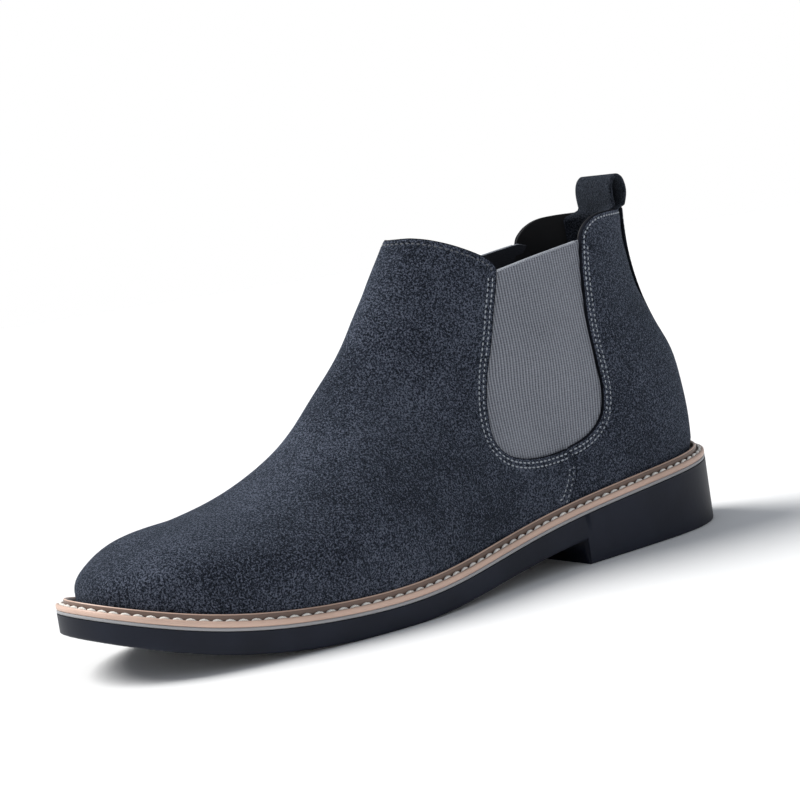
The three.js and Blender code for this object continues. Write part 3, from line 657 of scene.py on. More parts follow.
def node(tree, kind, inputs=None, **settings):
    made = tree.nodes.new(kind)
    for key, value in settings.items():
        setattr(made, key, value)
    for key, value in (inputs or {}).items():
        if isinstance(value, bpy.types.NodeSocket):
            tree.links.new(value, made.inputs[key])
        else:
            made.inputs[key].default_value = value
    return made


def place(tree, scale=(1, 1, 1)):
    """Position in the boot's own frame, stretched by scale."""
    coordinates = node(tree, "ShaderNodeTexCoord").outputs["Object"]
    return node(tree, "ShaderNodeMapping", {"Vector": coordinates, "Scale": scale}).outputs[0]


def noise(tree, vector, scale, detail=3.0, rough=0.55):
    return node(tree, "ShaderNodeTexNoise", {
        "Vector": vector, "Scale": scale, "Detail": detail, "Roughness": rough}).outputs["Fac"]


def mixed(tree, *parts):
    """Sum of (value, weight) pairs."""
    total = None
    for value, weight in parts:
        part = node(tree, "ShaderNodeMath", {0: value, 1: weight}, operation="MULTIPLY").outputs[0]
        total = part if total is None else node(
            tree, "ShaderNodeMath", {0: total, 1: part}, operation="ADD").outputs[0]
    return total


def dress(tree, shader, color, relief):
    tree.links.new(color, shader.inputs["Base Color"])
    tree.links.new(relief, shader.inputs["Normal"])


def ramp(tree, value, stops):
    made = node(tree, "ShaderNodeValToRGB", {"Fac": value})
    elements = made.color_ramp.elements
    while len(elements) < len(stops):
        elements.new(0.5)
    for element, (position, color) in zip(elements, stops):
        element.position = position
        element.color = (*color, 1)
    return made.outputs["Color"]


def bump(tree, height, distance, strength=1.0, normal=None):
    inputs = {"Height": height, "Distance": distance, "Strength": strength}
    if normal is not None:
        inputs["Normal"] = normal
    return node(tree, "ShaderNodeBump", inputs).outputs[0]


def suede(name, dark, mid, light):
    """Napped leather: a mottled short nap with a bluish bloom where it is seen from the side."""
    made, tree, shader = material(
        name, 0.95, Sheen_Weight=0.22, Sheen_Roughness=0.4, Sheen_Tint=(0.50, 0.60, 0.75, 1),
        Specular_IOR_Level=0.06)
    vector = place(tree)
    grain = noise(tree, vector, 1450, 3.0, 0.7)
    nap = noise(tree, vector, 3400, 2.0)
    patches = noise(tree, vector, 30, 3.0)
    tone = mixed(tree, (grain, 0.70), (nap, 0.22), (patches, 0.12))
    color = ramp(tree, tone, [(0.44, dark), (0.52, mid), (0.60, light)])
    dress(tree, shader, color, bump(tree, nap, 0.0004, 1.0, bump(tree, grain, 0.0009)))
    return made


def plain(name, color, rough, grain_scale, grain_depth, vary=0.12, **sockets):
    """A moulded, pressed or tanned material with a fine grain and slight changes of tone."""
    made, tree, shader = material(name, rough, **sockets)
    vector = place(tree)
    grain = noise(tree, vector, grain_scale)
    tone = noise(tree, vector, grain_scale * 0.06, 2.0)
    low, high = (tuple(c * (1 + k) for c in color) for k in (-vary, vary))
    dress(tree, shader, ramp(tree, tone, [(0.35, low), (0.65, high)]), bump(tree, grain, grain_depth, 0.6))
    return made


def thread(name, color):
    """Twisted thread."""
    made, tree, shader = material(name, 0.75, Sheen_Weight=0.3)
    wave = node(tree, "ShaderNodeTexWave", {"Vector": place(tree), "Scale": 900.0, "Distortion": 2.0},
                bands_direction="DIAGONAL").outputs["Fac"]
    low = tuple(c * 0.75 for c in color)
    dress(tree, shader, ramp(tree, wave, [(0.2, low), (0.7, color)]), bump(tree, wave, 0.00012, 0.7))
    return made


def elastic(name, dark, light):
    """Ribbed elastic webbing. The mesh's "rib" attribute runs from 0 between ribs to 1 on them."""
    made, tree, shader = material(name, 0.85, Sheen_Weight=0.2, Sheen_Roughness=0.5, Specular_IOR_Level=0.15)
    vector = place(tree)
    rib = node(tree, "ShaderNodeAttribute", attribute_name="rib").outputs["Fac"]
    inputs = {"Vector": vector, "Scale": 330.0, "Distortion": 0.8, "Detail": 1.0}
    weave = node(tree, "ShaderNodeTexWave", inputs, bands_direction="Z").outputs["Fac"]
    fuzz = noise(tree, vector, 1500, 2.0)
    patches = noise(tree, vector, 30, 2.0)
    # The rib term darkens the colour between the ribs: painted shade in the grooves.
    tone = mixed(tree, (rib, 0.42), (weave, 0.10), (fuzz, 0.34), (patches, 0.14))
    color = ramp(tree, tone, [(0.22, dark), (0.78, light)])
    dress(tree, shader, color, bump(tree, fuzz, 0.00015, 0.8, bump(tree, weave, 0.00012, 0.6)))
    return made


SUEDE = suede("navy_suede", (0.002, 0.003, 0.005), (0.017, 0.021, 0.033), (0.138, 0.156, 0.208))
# The pull tab's suede is a darker copy of the navy suede: painted shade on a tab lit from behind.
SHADED_TAB_SUEDE = suede("tab_suede_painted_shade", (0.002, 0.003, 0.004), (0.010, 0.012, 0.018), (0.042, 0.047, 0.062))
# Dark rims of the suede panels: partly the cut edge's own darker colour, partly painted shade along the edges
# beside the gores.
CUT_EDGE_AND_SHADE = plain("suede_cut_edge_and_shade", (0.007, 0.008, 0.012), 0.95, 1500, 0.0002, 0.4, Specular_IOR_Level=0.05)
ELASTIC = elastic("grey_elastic", (0.050, 0.055, 0.070), (0.320, 0.336, 0.380))
# Back face of the elastic: the same elastic much darker, painted shade for where it is seen inside the shaft.
ELASTIC_BACK_SHADE = elastic("elastic_back_painted_shade", (0.012, 0.013, 0.017), (0.030, 0.033, 0.042))
SELVEDGE = plain("elastic_selvedge", (0.38, 0.40, 0.44), 0.8, 1500, 0.0002)
LINING = plain("black_lining", (0.007, 0.007, 0.008), 0.6, 900, 0.0001, Specular_IOR_Level=0.2)
FOOTBED_LEATHER = plain("footbed_leather", (0.016, 0.016, 0.018), 0.5, 700, 0.00015)
RUBBER = plain("black_rubber", (0.010, 0.0125, 0.022), 0.5, 600, 0.00008, 0.2, Specular_IOR_Level=0.18)
MIDSOLE_GREY = plain("grey_midsole", (0.30, 0.30, 0.31), 0.55, 500, 0.00006, 0.05)
WELT_LIP = plain("tan_welt", (0.56, 0.39, 0.31), 0.45, 420, 0.00012, 0.12, Specular_IOR_Level=0.5)
WELT_RIB = plain("brown_rib", (0.15, 0.095, 0.072), 0.42, 420, 0.00012, 0.2, Specular_IOR_Level=0.5)
# Dark colour of the welt's stitch groove: painted shade in the recess.
WELT_GROOVE_SHADE = plain("welt_groove_painted_shade", (0.06, 0.030, 0.022), 0.6, 420, 0.00012, 0.2)
WELT_THREAD = thread("cream_thread", (1.0, 0.95, 0.88))
SEAM_THREAD = thread("grey_thread", (0.43, 0.47, 0.53))
DARK_THREAD = thread("dark_thread", (0.12, 0.13, 0.15))
INNER_LOOKS = {
    "heel_filler": plain("heel_foam", (0.25, 0.23, 0.20), 0.9, 300, 0.0004),
    "forepart_filler": plain("cork", (0.34, 0.20, 0.10), 0.9, 350, 0.0006, 0.4),
    "shank": plain("spring_steel", (0.55, 0.56, 0.58), 0.35, 900, 0.00002, 0.05, Metallic=1.0),
    "insole_board": plain("fibre_board", (0.42, 0.33, 0.22), 0.85, 800, 0.0001, 0.15),
    "toe_puff": plain("toe_stiffener", (0.62, 0.58, 0.50), 0.8, 600, 0.0001),
    "heel_counter": plain("heel_stiffener", (0.52, 0.42, 0.30), 0.8, 600, 0.0001),
}

# ---------------- camera, floor, light
AIM = Vector((0.9, 5.4, 77.8)) * MM
AZIMUTH, ELEVATION, ROLL = (math.radians(v) for v in (58.4, 6.65, 8.9))
DISTANCE = 0.94
LENS = 105.9
FLOOR_RADIUS = 2200.0
FLOOR_GAP = 0.1                 # floor, below the sole


def make_camera():
    back = Vector((math.sin(AZIMUTH) * math.cos(ELEVATION), -math.cos(AZIMUTH) * math.cos(ELEVATION),
                   math.sin(ELEVATION)))
    level = Vector((math.cos(AZIMUTH), math.sin(AZIMUTH), 0))
    upright = back.cross(level)
    right = level * math.cos(ROLL) - upright * math.sin(ROLL)
    up = level * math.sin(ROLL) + upright * math.cos(ROLL)
    data = bpy.data.cameras.new("camera")
    data.lens, data.sensor_width = LENS, 36
    data.clip_start, data.clip_end = 0.02, 60
    camera = bpy.data.objects.new("camera", data)
    turn = Matrix((right, up, back)).transposed().to_4x4()
    camera.matrix_world = Matrix.Translation(AIM + back * DISTANCE) @ turn
    bpy.context.scene.collection.objects.link(camera)
    bpy.context.scene.camera = camera


def make_stage():
    turns = np.linspace(0, 2 * math.pi, 96, endpoint=False)
    rim = np.c_[np.cos(turns) * FLOOR_RADIUS, np.sin(turns) * FLOOR_RADIUS, np.full(len(turns), -FLOOR_GAP)]
    look = plain("pale_floor", (0.9, 0.9, 0.9), 0.95, 8, 0.0001, 0.01)
    floor = make_object("floor", rim, [range(len(rim))], look)

    world = bpy.data.worlds.new("studio")
    bpy.context.scene.world = world
    world.use_nodes = True
    tree = world.node_tree
    direction = node(tree, "ShaderNodeTexCoord").outputs["Generated"]
    height = node(tree, "ShaderNodeSeparateXYZ", {"Vector": direction})
    white, dim = (1.0, 1.0, 1.0), (0.30, 0.32, 0.35)
    sky = ramp(tree, height.outputs["Z"], [(0.0, white), (0.13, white), (0.32, dim), (1.0, dim)])
    tree.links.new(sky, tree.nodes["Background"].inputs["Color"])

    sun("key", (-0.42, -0.46, 0.78), 3.7, 35, (1.0, 0.99, 0.97))
    sun("fill", (0.75, -0.35, 0.50), 0.18, 60, (0.92, 0.96, 1.0))
    bpy.context.scene.view_settings.view_transform = "Standard"


def sun(name, towards, strength, spread, color):
    """Soft studio light from one direction."""
    data = bpy.data.lights.new(name, "SUN")
    data.energy, data.angle, data.color = strength, math.radians(spread), color
    light = bpy.data.objects.new(name, data)
    light.rotation_mode = "QUATERNION"
    light.rotation_quaternion = Vector(towards).to_track_quat("Z", "Y")
    bpy.context.scene.collection.objects.link(light)


make_camera()
make_stage()

# ---------------- sole
LOOP_STEPS = 420
loop_u = around(LOOP_STEPS)


def band(name, profile, shades, materials):
    """A closed band round the sole with a profile of (inset, height above the sole's top edge)."""
    rings = []
    for inset, height in profile:
        xy = edge_point(loop_u, inset)
        rings.append(np.c_[xy, sole_top(xy[:, 1]) + height])
    size = len(profile)
    i, j = np.meshgrid(np.arange(LOOP_STEPS), np.arange(size), indexing="ij")
    a, b = i * size + j, i * size + (j + 1) % size
    c, d = (i + 1) % LOOP_STEPS * size + j, (i + 1) % LOOP_STEPS * size + (j + 1) % size
    faces = np.stack([a, c, d, b], -1).reshape(-1, 4)
    points = np.stack(rings, 1).reshape(-1, 3)
    return make_object(name, points, faces, materials, np.tile(shades, LOOP_STEPS), sharp=50)


def make_welt():
    """Storm welt: a pale lip, a groove for the stitches painted dark as shade, and a brown rib whose top is
    painted pale as a highlight.
    """
    low, high = WELT
    lip = [(1.0, low), (0.35, low), (0.05, low + 0.35), (0.0, low + 1.1), (0.12, high - 0.45),
           (0.45, high - 0.1), (0.9, high), (1.25, high - 0.08)]
    groove = [(1.5, WELT_FLOOR), (2.2, WELT_FLOOR - 0.1), (2.85, WELT_FLOOR)]
    rib = [(3.05, high), (3.15, RIB_TOP - 0.9), (3.3, RIB_TOP - 0.35), (3.6, RIB_TOP), (4.1, RIB_TOP),
           (4.45, RIB_TOP - 0.5), (4.6, high), (9, high - 0.5), (9, low)]
    pale, brown, dark = range(3)
    # Groove faces take the dark groove colour as painted shade; the rib's top three faces take the pale lip
    # colour as a painted highlight.
    shades = [pale] * 7 + [dark] * 4 + [brown] * 2 + [pale] * 3 + [brown] * 4
    welt = band("storm_welt", lip + groove + rib, shades, [WELT_LIP, WELT_RIB, WELT_GROOVE_SHADE])
    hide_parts("welt")
    return welt


def make_welt_stitches():
    xy = closed(edge_point(around(1600), STITCH_INSET))
    line = np.c_[xy, sole_top(xy[:, 1]) + WELT[1] + STITCH_LIFT]
    up = np.tile([0.0, 0.0, 1.0], (len(line), 1))
    row = thread_row(line, up, pitch=4.8, length=4.6, radius=0.68, sink=0.8, slant=0.10)
    stitches = thread_object("welt_stitches", [row], WELT_THREAD)
    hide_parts("welt_stitching")
    return stitches


def make_midsole():
    low, high = MIDSOLE
    profile = [(14, low), (0.5, low), (0.2, low + 0.15), (0.08, low + 0.45), (0.08, high - 0.35),
               (0.25, high - 0.08), (0.6, high), (14, high)]
    midsole = band("midsole_layer", profile, [0] * len(profile), MIDSOLE_GREY)
    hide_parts("midsole")
    return midsole


TREAD_PITCH = 7.0               # V-shaped grooves under the forepart and heel
TREAD_DEPTH = 1.3
TREAD_SLANT = 0.22
TREAD_BORDER = 7.0              # smooth border round the grooves
FOOT_ROUND = 0.9                # rounded bottom edge of the side wall
WALL_SHARES = (0.0, 0.5, 0.86, 1.0)     # rings of points down the side wall
FOOT_PROFILE = [(0.12, 0.45), (0.45, 0.12), (FOOT_ROUND, 0.0)]      # inset, height
BREAST_SHARES = np.linspace(0, 1, 26)[1:-1, None]


def ground(y):
    """Height of the forepart's underside, without its grooves."""
    return np.maximum(tread_curve(y), 0)


def tread_height(xy, heel):
    """Height of the sole's underside, with its grooves."""
    y = xy[:, 1]
    base = np.zeros_like(y) if heel else ground(y)
    border = distance_to(xy, closed(edge_point(loop_u, 0)))
    low, high = (HEEL_BREAST_Y + 5, 150) if heel else (-150, -2)
    area = smooth(y, low, low + 1) * (1 - smooth(y, high - 1, high))
    phase = (y + TREAD_SLANT * np.abs(xy[:, 0]) + 1) % TREAD_PITCH / TREAD_PITCH
    groove = smooth(phase, 0.58, 0.66) * (1 - smooth(phase, 0.90, 0.98))
    return base + TREAD_DEPTH * groove * area * smooth(border, TREAD_BORDER - 0.6, TREAD_BORDER + 0.6)


def past_breast(u):
    """How far behind the heel breast the sole's edge lies at u."""
    return edge_y(u) - HEEL_BREAST_Y


def make_outsole():
    """Side wall, rounded bottom edge, grooved underside, heel breast and top, as one closed mesh."""
    # The edge has two points where it crosses the breast, one for the forepart and one for the heel.
    ends = np.r_[loop_u[1:], 0]
    crossings = np.flatnonzero(past_breast(loop_u) * past_breast(ends) < 0)
    exact = root(past_breast, loop_u[crossings], ends[crossings])
    u = np.sort(np.r_[np.delete(loop_u, crossings), exact, exact])
    first, second = (int(i) for i in np.searchsorted(u, exact))
    is_heel = past_breast(u) > 0
    is_heel[[first, first + 1, second, second + 1]] = False, True, True, False

    wall = edge_point(u, 0)
    top, low = sole_top(wall[:, 1]), np.where(is_heel, 0, ground(edge_y(u)))
    rings = [np.c_[wall, top + (low + FOOT_ROUND - top) * share] for share in WALL_SHARES]
    rings += [np.c_[edge_point(u, inset), low + height] for inset, height in FOOT_PROFILE]
    n, count = len(u), len(rings)
    last = (count - 1) * n
    points = list(np.vstack(rings))
    faces = [(k * n + i, (k + 1) * n + i, (k + 1) * n + (i + 1) % n, k * n + (i + 1) % n)
             for k in range(count - 1) for i in range(n) if i not in (first, second)]
    for fore, back in ((first, first + 1), (second + 1, second)):
        column = [k * n + fore for k in range(1, count)] + [k * n + back for k in range(count - 1, 0, -1)]
        faces.append(tuple(column if fore < back else column[::-1]))
    faces += [(i, n + i, n + i + 1, i + 1) for i in (first, second)]

    def add(new):
        """Adds points, and gives their numbers."""
        points.extend(new)
        return list(range(len(points) - len(new), len(points)))

    # Lines across the breast, from the outer side to the inner side, at both heights.
    across = {}
    for heel, outer, inner in ((False, first, second + 1), (True, first + 1, second)):
        a, b = points[last + outer], points[last + inner]
        across[heel] = [last + outer, *add(a + (b - a) * BREAST_SHARES), last + inner]
    fore, back = across[False], across[True]
    faces += [(b, a, d, c) for a, b, c, d in zip(fore, fore[1:], back[1:], back)]

    # The underside, anticlockwise from above: along the edge, then back across the breast.
    rim = np.arange(n) + last
    for heel, side in ((True, rim[first + 1:second + 1]), (False, np.r_[rim[second + 1:], rim[:first + 1]])):
        ids = [*side, *across[heel][1:-1][::-1 if heel else 1]]
        flat, triangles = fill_evenly(np.array([points[i][:2] for i in ids]), 1.6, 0.45, 0.4)
        inner = flat[len(ids):]
        ids += add(np.c_[inner, tread_height(inner, heel)])
        faces += [(ids[c], ids[b], ids[a]) for a, b, c in triangles]

    ids = [i for i in range(n) if i not in (first + 1, second + 1)]
    flat, triangles = fill_evenly(np.array([points[i][:2] for i in ids]), 8, 5, 2)
    inner = flat[len(ids):]
    ids += add(np.c_[inner, sole_top(inner[:, 1])])
    faces += [(ids[a], ids[b], ids[c]) for a, b, c in triangles]
    outsole = make_object("rubber_outsole", np.array(points), faces, RUBBER, sharp=35)
    clean(outsole)
    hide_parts("outsole")
    return outsole


def make_footbed():
    """Black sock liner, slightly dished."""
    u = around(260)
    loop = edge_point(u, feather_inset(edge_y(u)) + FOOTBED_MARGIN)
    flat, triangles = fill_evenly(loop, 3, 3, 1.2)
    dish = FOOTBED_DISH * smooth(distance_to(flat, closed(loop)), 0, 16)
    low, high = FOOTBED
    top = np.c_[flat, sole_top(flat[:, 1]) + high - dish]
    bottom = np.c_[flat, sole_top(flat[:, 1]) + low]
    size = len(loop)
    outward = unit(np.cross(round_loop(top[:size]), [0, 0, 1.0]))
    points, faces = sheet(top, bottom, triangles, size, outward, np.ones(size), high - low)
    footbed = make_object("sock_liner", points, faces, FOOTBED_LEATHER)
    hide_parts("footbed")
    return footbed


for piece in (make_outsole(), make_midsole(), make_welt(), make_welt_stitches(), make_footbed()):
    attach(piece, "root")
for name, look in INNER_LOOKS.items():
    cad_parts[name].data.materials.clear()
    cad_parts[name].data.materials.append(look)

# ---------------- upper
# Direction and two levels for the front of the shaft, about the gores' lowest points.
LEAN_UP = np.array([0.39, 0.92])
LEAN_FROM, LEAN_TO = 62.0, 85.0
# Direction and two levels for the gores, from their back edge to their front edge.
FAN_ALONG = np.array([-0.85, 0.53])
FAN_FROM, FAN_TO = -9.0, 22.0


def lean(obj, direction=LEAN_UP, low=LEAN_FROM, high=LEAN_TO):
    """Bakes the piece's placement into its mesh."""
    direction = direction / (direction @ direction) * MM
    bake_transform(obj)


ROW_GAPS = (1.4, 3.3)           # the two stitch rows, in from a panel's edge
TOP_ROW_GAP = 1.9
GROOVE = 0.38                   # how deep the stitches pull the suede in
EDGE_DROP, MOST_DROP = 0.35, 0.40       # rounding of an edge, and where two of them meet
OVERLAP = 3.0                   # quarter hidden under the vamp at the side seam


FRONT_EDGE = np.vstack([SEAM[::-1], GORE_FRONT])
QUARTER_EDGE = np.vstack([GORE_BACK, QUARTER_TOP_PATH])
VAMP_ROWS = [trimmed(beside(resample(GORE_FRONT), gap), 1.0, 2.5) for gap in ROW_GAPS]
VAMP_ROWS += [trimmed(beside(resample(SEAM[:-2][::-1]), gap), 0, 5.5) for gap in ROW_GAPS]
VAMP_TOP_ROW = beside(resample(FRONT_TOP_PATH), TOP_ROW_GAP)
QUARTER_ROWS = [
    trimmed(beside(resample(QUARTER_EDGE[::-1]), ROW_GAPS[0]), BACK_STRIP[0][0] + 0.5, 1.0),
    trimmed(beside(resample(GORE_BACK[::-1]), ROW_GAPS[1]), 1.5, 1.0),
]
RIPPLE = 0.55                   # height of the suede's soft waves, away from its seams


def ripple(points):
    x, y, z = points.T
    slow = np.sin(0.105 * y + 0.06 * z + 1.4 * np.sin(0.05 * x)) * np.sin(0.07 * z - 0.04 * y + 0.03 * x + 1)
    quick = np.sin(0.23 * z - 0.19 * y + 2.0 * np.sin(0.06 * x + 0.04 * z)) * np.sin(0.11 * y + 0.05 * x)
    return RIPPLE * (0.65 * slow + 0.35 * quick)


def edge_shape(points, edges, rows):
    """Rounded edges, pulled-in stitch rows and, away from them, soft waves."""
    drop = sum(EDGE_DROP * near(points, [path], 1.7) for path in edges)
    waves = (1 - near(points, edges, 14.0)) * ripple(points)
    return waves - np.minimum(drop, MOST_DROP) - GROOVE * near(points, rows, 0.8)


VAMP_GUIDES = both_sides([*VAMP_ROWS, VAMP_TOP_ROW])
VAMP_EDGES = both_sides([FRONT_EDGE, FRONT_TOP_PATH])
VAMP_LIFT = 0.45                # the vamp rises over the quarters at the side seams
QUARTER_DROP = 1.4              # and they sink under it


def vamp_depth(points):
    lift = VAMP_LIFT * near(points, both_sides([SEAM]), 8.0)
    return edge_shape(points, VAMP_EDGES, VAMP_GUIDES) + lift


def bottom_edge(start, end):
    """The outer side's bottom edge, or the centre line of the back, from one section to another."""
    return np.stack([np.ones(400), np.linspace(start, end, 400)], 1)


def vamp_outline():
    outer = [(bottom_edge(0, FOOT_T), False), (FRONT_EDGE, True), (FRONT_TOP_PATH, True)]
    tip = np.array([(-1.0, 0.0), (1.0, 0.0)])
    return outer + flipped(outer) + [(tip, False)]


def make_vamp():
    vamp = panel("suede_vamp", vamp_outline(), vamp_depth, SUEDE_THICKNESS, SUEDE, CUT_EDGE_AND_SHADE, VAMP_GUIDES)
    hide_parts("vamp", "vamp_instep", "vamp_shaft")
    lean(vamp)
    for name, rows, look in (("vamp_stitches", VAMP_ROWS, SEAM_THREAD),
                             ("collar_stitches", [VAMP_TOP_ROW], DARK_THREAD)):
        stitches = thread_object(name, [seam_row(row, vamp_depth) for row in both_sides(rows)], look)
        lean(stitches)


def quarter_outline(side, under=0.0):
    """Outline of a quarter; under is how far it runs on below the vamp at the side seam."""
    seam = beside(resample(SEAM), -under)
    seam = seam[seam[:, 0] < 0.97]
    foot_t = seam[-1, 1]
    seam = np.vstack([GORE_BACK[:1], seam, [(1.0, foot_t)]])
    outer = [(bottom_edge(foot_t, HEEL_T), False), (bottom_edge(HEEL_T, TOP_T), True),
             (QUARTER_TOP_PATH[::-1], True), (GORE_BACK[::-1], True), (seam, False)]
    return outer if side > 0 else flipped(outer)


def make_quarter(side, name):
    turn = (lambda paths: paths if side > 0 else [mirrored(p) for p in paths])
    rows = turn(QUARTER_ROWS)
    edges = turn([QUARTER_EDGE])
    seam = turn([SEAM])[0]

    def depth(points):
        away = distance_to(points, surface(seam))
        return edge_shape(points, edges, rows) - QUARTER_DROP * (1 - smooth(away, 0.5, 5.5))
    outline = quarter_outline(side, OVERLAP)
    quarter = panel(f"suede_quarter_{name}", outline, depth, SUEDE_THICKNESS, SUEDE, CUT_EDGE_AND_SHADE, rows)
    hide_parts(f"quarter_{name}")
    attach(quarter, "root")
    stitches = thread_object(f"quarter_stitches_{name}", [seam_row(r, depth) for r in rows], SEAM_THREAD)
    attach(stitches, "root")


def lining_depth(points):
    top = near(points, both_sides([FRONT_TOP_PATH, QUARTER_TOP_PATH]), 16)
    return -LINING_DEPTH + (LINING_DEPTH - LINING_DEPTH_AT_TOP) * top


def make_linings():
    front = panel("front_lining", vamp_outline(), lining_depth, LINING_THICKNESS, LINING, LINING, step=2.6)
    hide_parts("lining_vamp", "lining_instep", "lining_shaft")
    lean(front)
    for side, name in ((1, "outer"), (-1, "inner")):
        quarter = panel(f"quarter_lining_{name}", quarter_outline(side), lining_depth, LINING_THICKNESS,
                        LINING, LINING, step=2.6)
        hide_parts(f"lining_quarter_{name}")
        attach(quarter, "root")


RIB_PITCH = 1.3                 # ribs of the elastic
RIB_POINTS = 4                  # mesh points across a rib
RIB_ROW = 2.4                   # and from one row of them to the next along it
RIB_LEAN = 0.03                 # the ribs lean a little to the rear going up
RIB_HEIGHT = 0.20
SELVEDGE_RADIUS = 0.55          # woven edge along the top of the elastic


def cord(line, up, radius, sides=8):
    """Closed round cord along a line."""
    along = unit(np.gradient(line, axis=0))
    across = unit(np.cross(up, along))
    up = np.cross(along, across)
    turns = 2 * math.pi * np.arange(sides) / sides
    rings = (line[:, None] + across[:, None] * (np.cos(turns) * radius)[None, :, None]
             + up[:, None] * (np.sin(turns) * radius)[None, :, None])
    return rings.reshape(-1, 3), tube_faces(len(line), sides)


GRID_CORNER = (5.0, 30.0)       # the ribs' grid starts here, y and z, outside the elastic


def gore_region():
    """Bottom and top line of the elastic, y and z. It is wider than the opening by the hidden seam."""
    tangent = unit(np.gradient(gore_line, axis=0))
    wide = gore_line + tangent[:, ::-1] * (-1, 1) * -GORE_SEAM
    top = curve(GORE_TOP)
    first, last = top[0] - (GORE_SEAM, GORE_SEAM * 0.30), top[-1] + (GORE_SEAM, GORE_SEAM * 0.10)
    top = np.vstack([first, top, last])
    wide = wide[wide[:, 1] < np.interp(wide[:, 0], top[:, 0], top[:, 1])]
    top = top[(top[:, 0] > wide[0, 0]) & (top[:, 0] < wide[-1, 0])]
    return wide, top


def make_gore(side, name):
    """Ribbed elastic, seen between the vamp and the quarter. Its back is painted much darker, as shade for
    where it is seen inside the shaft.
    """
    wide, top = gore_region()
    column = RIB_PITCH / RIB_POINTS
    across, upward = unit(np.array([1.0, -RIB_LEAN])), unit(np.array([RIB_LEAN, 1.0]))
    i, j = np.meshgrid(np.arange(0, 110, column), np.arange(0, 120, RIB_ROW), indexing="ij")
    grid = (GRID_CORNER + i[..., None] * across + j[..., None] * upward).reshape(-1, 2)
    # Squeezed along the ribs so that the long cells of the grid are square when it is triangulated.
    squeeze = np.stack([across, upward * column / RIB_ROW], 1)

    def evened(line, spacing):
        at = lengths(line)
        return spread(line, at, np.linspace(0, at[-1], int(at[-1] / spacing) + 1))

    bottom, upper = evened(wide, 0.8), evened(top[::-1], 0.5)
    loop = np.vstack([bottom, upper])
    flat, triangles = fill(loop @ squeeze, grid @ squeeze, 0.12)
    yz = flat @ np.linalg.inv(squeeze)
    st = locate(yz, side)
    base, normal = surface(st), normals(st)
    ribs = np.cos(2 * math.pi * (yz @ across) / RIB_PITCH)
    outer = base + normal * (RIB_HEIGHT * ribs - GORE_DEPTH)[:, None]
    inner = base - normal * (GORE_DEPTH + GORE_THICKNESS)
    size = len(loop)
    if side < 0:
        triangles = triangles[:, ::-1]
    outward = unit(np.cross(round_loop(outer[:size]) * side, normal[:size]))
    rounding = np.r_[np.zeros(len(bottom)), np.ones(len(upper))] * 0.6
    points, faces = sheet(outer, inner, triangles, size, outward, rounding, GORE_THICKNESS)
    if side < 0:
        faces = faces[:2 * len(triangles)] + [face[::-1] for face in faces[2 * len(triangles):]]
    # Inner skin faces take the darker back: painted shade.
    shades = np.arange(len(faces)) // len(triangles) == 1
    gore = make_object(f"elastic_gore_{name}", points, faces, [ELASTIC, ELASTIC_BACK_SHADE], shades)
    # The rib values also darken the elastic between its ribs in the material: painted shade.
    values = np.full(len(points), 0.5)
    values[:len(ribs)] = 0.5 + 0.5 * ribs
    gore.data.attributes.new("rib", "FLOAT", "POINT").data.foreach_set("value", values)
    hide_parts(f"gore_{name}")
    lean(gore, FAN_ALONG, FAN_FROM, FAN_TO)

    edge = locate(upper[5:-5], side)
    middle = surface(edge) - normals(edge) * (GORE_DEPTH + GORE_THICKNESS / 2 - 0.1)
    selvedge = make_object(f"gore_selvedge_{name}", *cord(middle, normals(edge), SELVEDGE_RADIUS), SELVEDGE)
    lean(selvedge, FAN_ALONG, FAN_FROM, FAN_TO)


STRIP_LIFT = 1.5                # outer face of the back strip, above the suede's surface
STRIP_THICKNESS = 1.25


def strip_edge(side):
    """Edge of the back strip from its tip up; side 1 lies on the outer half."""
    widths, heights = np.array(BACK_STRIP[::-1]).T
    t = np.linspace(HEEL_T, TOP_T, 300)
    t = t[surface(np.c_[np.ones_like(t), t])[:, 2] >= heights[0]]
    half = spline(heights, widths)(surface(np.c_[np.ones_like(t), t])[:, 2])

    def past_edge(away):
        return side * (surface(np.c_[1 - side * away, t])[:, 0] - SHAFT_MIDDLE_X) - half
    away = root(past_edge, np.full_like(t, 1e-5), np.full_like(t, 0.4))
    return np.c_[1 - side * away, t]


def make_back_strip():
    """Tapered suede strip over the seam at the back."""
    right, left = strip_edge(-1), strip_edge(1)[::-1]
    top_s = np.linspace(right[-1, 0], left[0, 0], 24)
    top = level_path(top_s, quarter_top_line)
    right = np.vstack([right[right[:, 1] < top[0, 1]], top[:1]])
    left = np.vstack([top[-1:], left[left[:, 1] < top[-1, 1]]])
    tip = np.vstack([left[-1:], right[:1]])
    edges = [right, left]
    rows = [trimmed(beside(resample(edge), ROW_GAPS[0]), *ends)
            for edge, ends in zip(edges, [(6, 2.5), (2.5, 6)])]

    def depth(points):
        return STRIP_LIFT + edge_shape(points, edges, rows)
    outline = [(right, True), (top, True), (left, True), (tip, True)]
    strip = panel("suede_back_strip", outline, depth, STRIP_THICKNESS, SUEDE, CUT_EDGE_AND_SHADE, rows, step=1.5)
    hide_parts("back_strip")
    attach(strip, "root")
    stitches = thread_object("back_strip_stitches", [seam_row(r, depth) for r in rows], SEAM_THREAD)
    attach(stitches, "root")


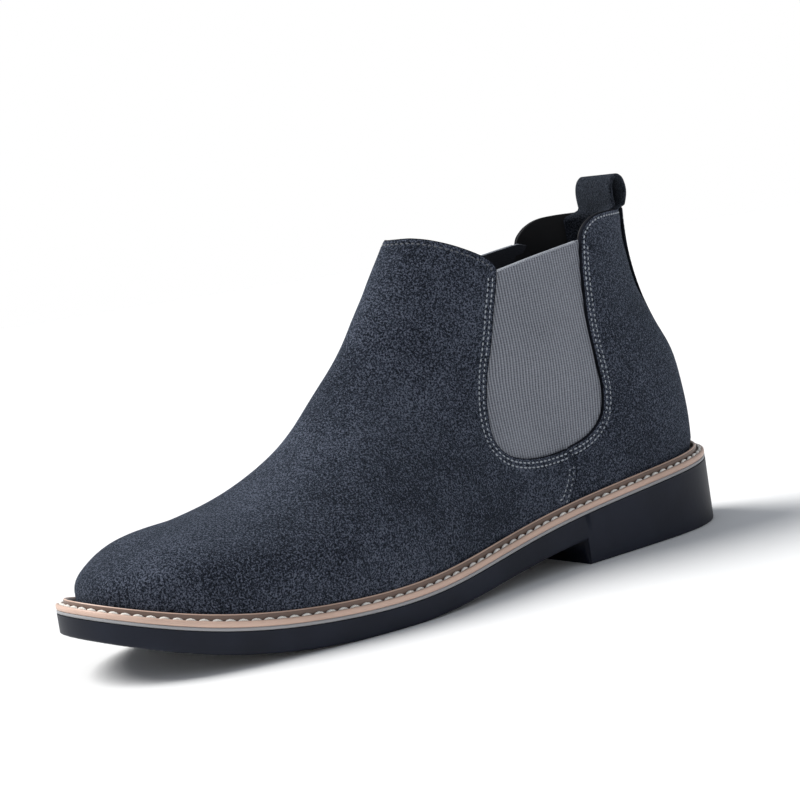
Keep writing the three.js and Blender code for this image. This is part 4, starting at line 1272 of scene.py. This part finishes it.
# Middle of the pull tab's strap, y and z, from its sewn inner end over the loop and back down.
TAB_PATH = [
    (119.4, 112), (119.4, 124), (119.0, 134), (118.2, 140), (117.9, 145), (118.9, 149), (121.4, 151.1),
    (124.0, 149.6), (125.1, 146), (124.9, 142.6), (123.4, 138.6), (121.5, 134.5), (121.1, 128), (121.1, 112),
]
TAB_THICKNESS = 1.6
TAB_CORNER = (0.5, 0.15)        # where the strap's rounded sides start, in from them, and their chamfer
TAB_CURL = (135.4, 138.8)       # below, the strap curls round the back of the ankle; above, it is flat
CURL_HEIGHT = 130.0             # the lining's curve at this height gives the curl
CURL_DEPTH = 5.0


def strap_section():
    """Points round the strap, across its width and through its thickness."""
    half_width, half_thick = TAB_WIDTH / 2, TAB_THICKNESS / 2
    corner, cut = TAB_CORNER
    steps = np.linspace(-1, 1, 13) * (half_width - corner)
    side = [(half_width - cut, half_thick - cut), (half_width, 0.0), (half_width - cut, cut - half_thick)]
    half = [(x, half_thick) for x in steps] + side
    return np.array(half + [(-x, -y) for x, y in half]).T


def make_pull_tab():
    """Strap folded into a loop, with both ends sewn to the lining."""
    path = curve(TAB_PATH, 6)
    out = unit(np.gradient(path, axis=0))[:, ::-1] * (-1, 1)
    x, off = strap_section()
    # How far the inside of the lining curves forward away from the middle of the back.
    back = level_path(np.linspace(0.72, 1, 40), np.array([(0, CURL_HEIGHT), (200, CURL_HEIGHT)]))
    back = surface(back) - normals(back) * CURL_DEPTH
    curl = np.interp(np.abs(x), back[::-1, 0] - SHAFT_MIDDLE_X, back[-1, 1] - back[::-1, 1])
    rings = [np.c_[x + SHAFT_MIDDLE_X, y + ny * off - curl * (1 - smooth(z, *TAB_CURL)), z + nz * off]
             for (y, z), (ny, nz) in zip(path, out)]
    # The tab takes the darker copy of the suede: painted shade.
    tab = make_object("suede_pull_tab", np.vstack(rings), tube_faces(len(rings), len(x)), SHADED_TAB_SUEDE, sharp=60)
    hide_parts("pull_tab", "pull_tab_end")
    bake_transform(tab)


make_vamp()
for sign, end in ((1, "outer"), (-1, "inner")):
    make_quarter(sign, end)
    make_gore(sign, end)
make_linings()
make_back_strip()
make_pull_tab()
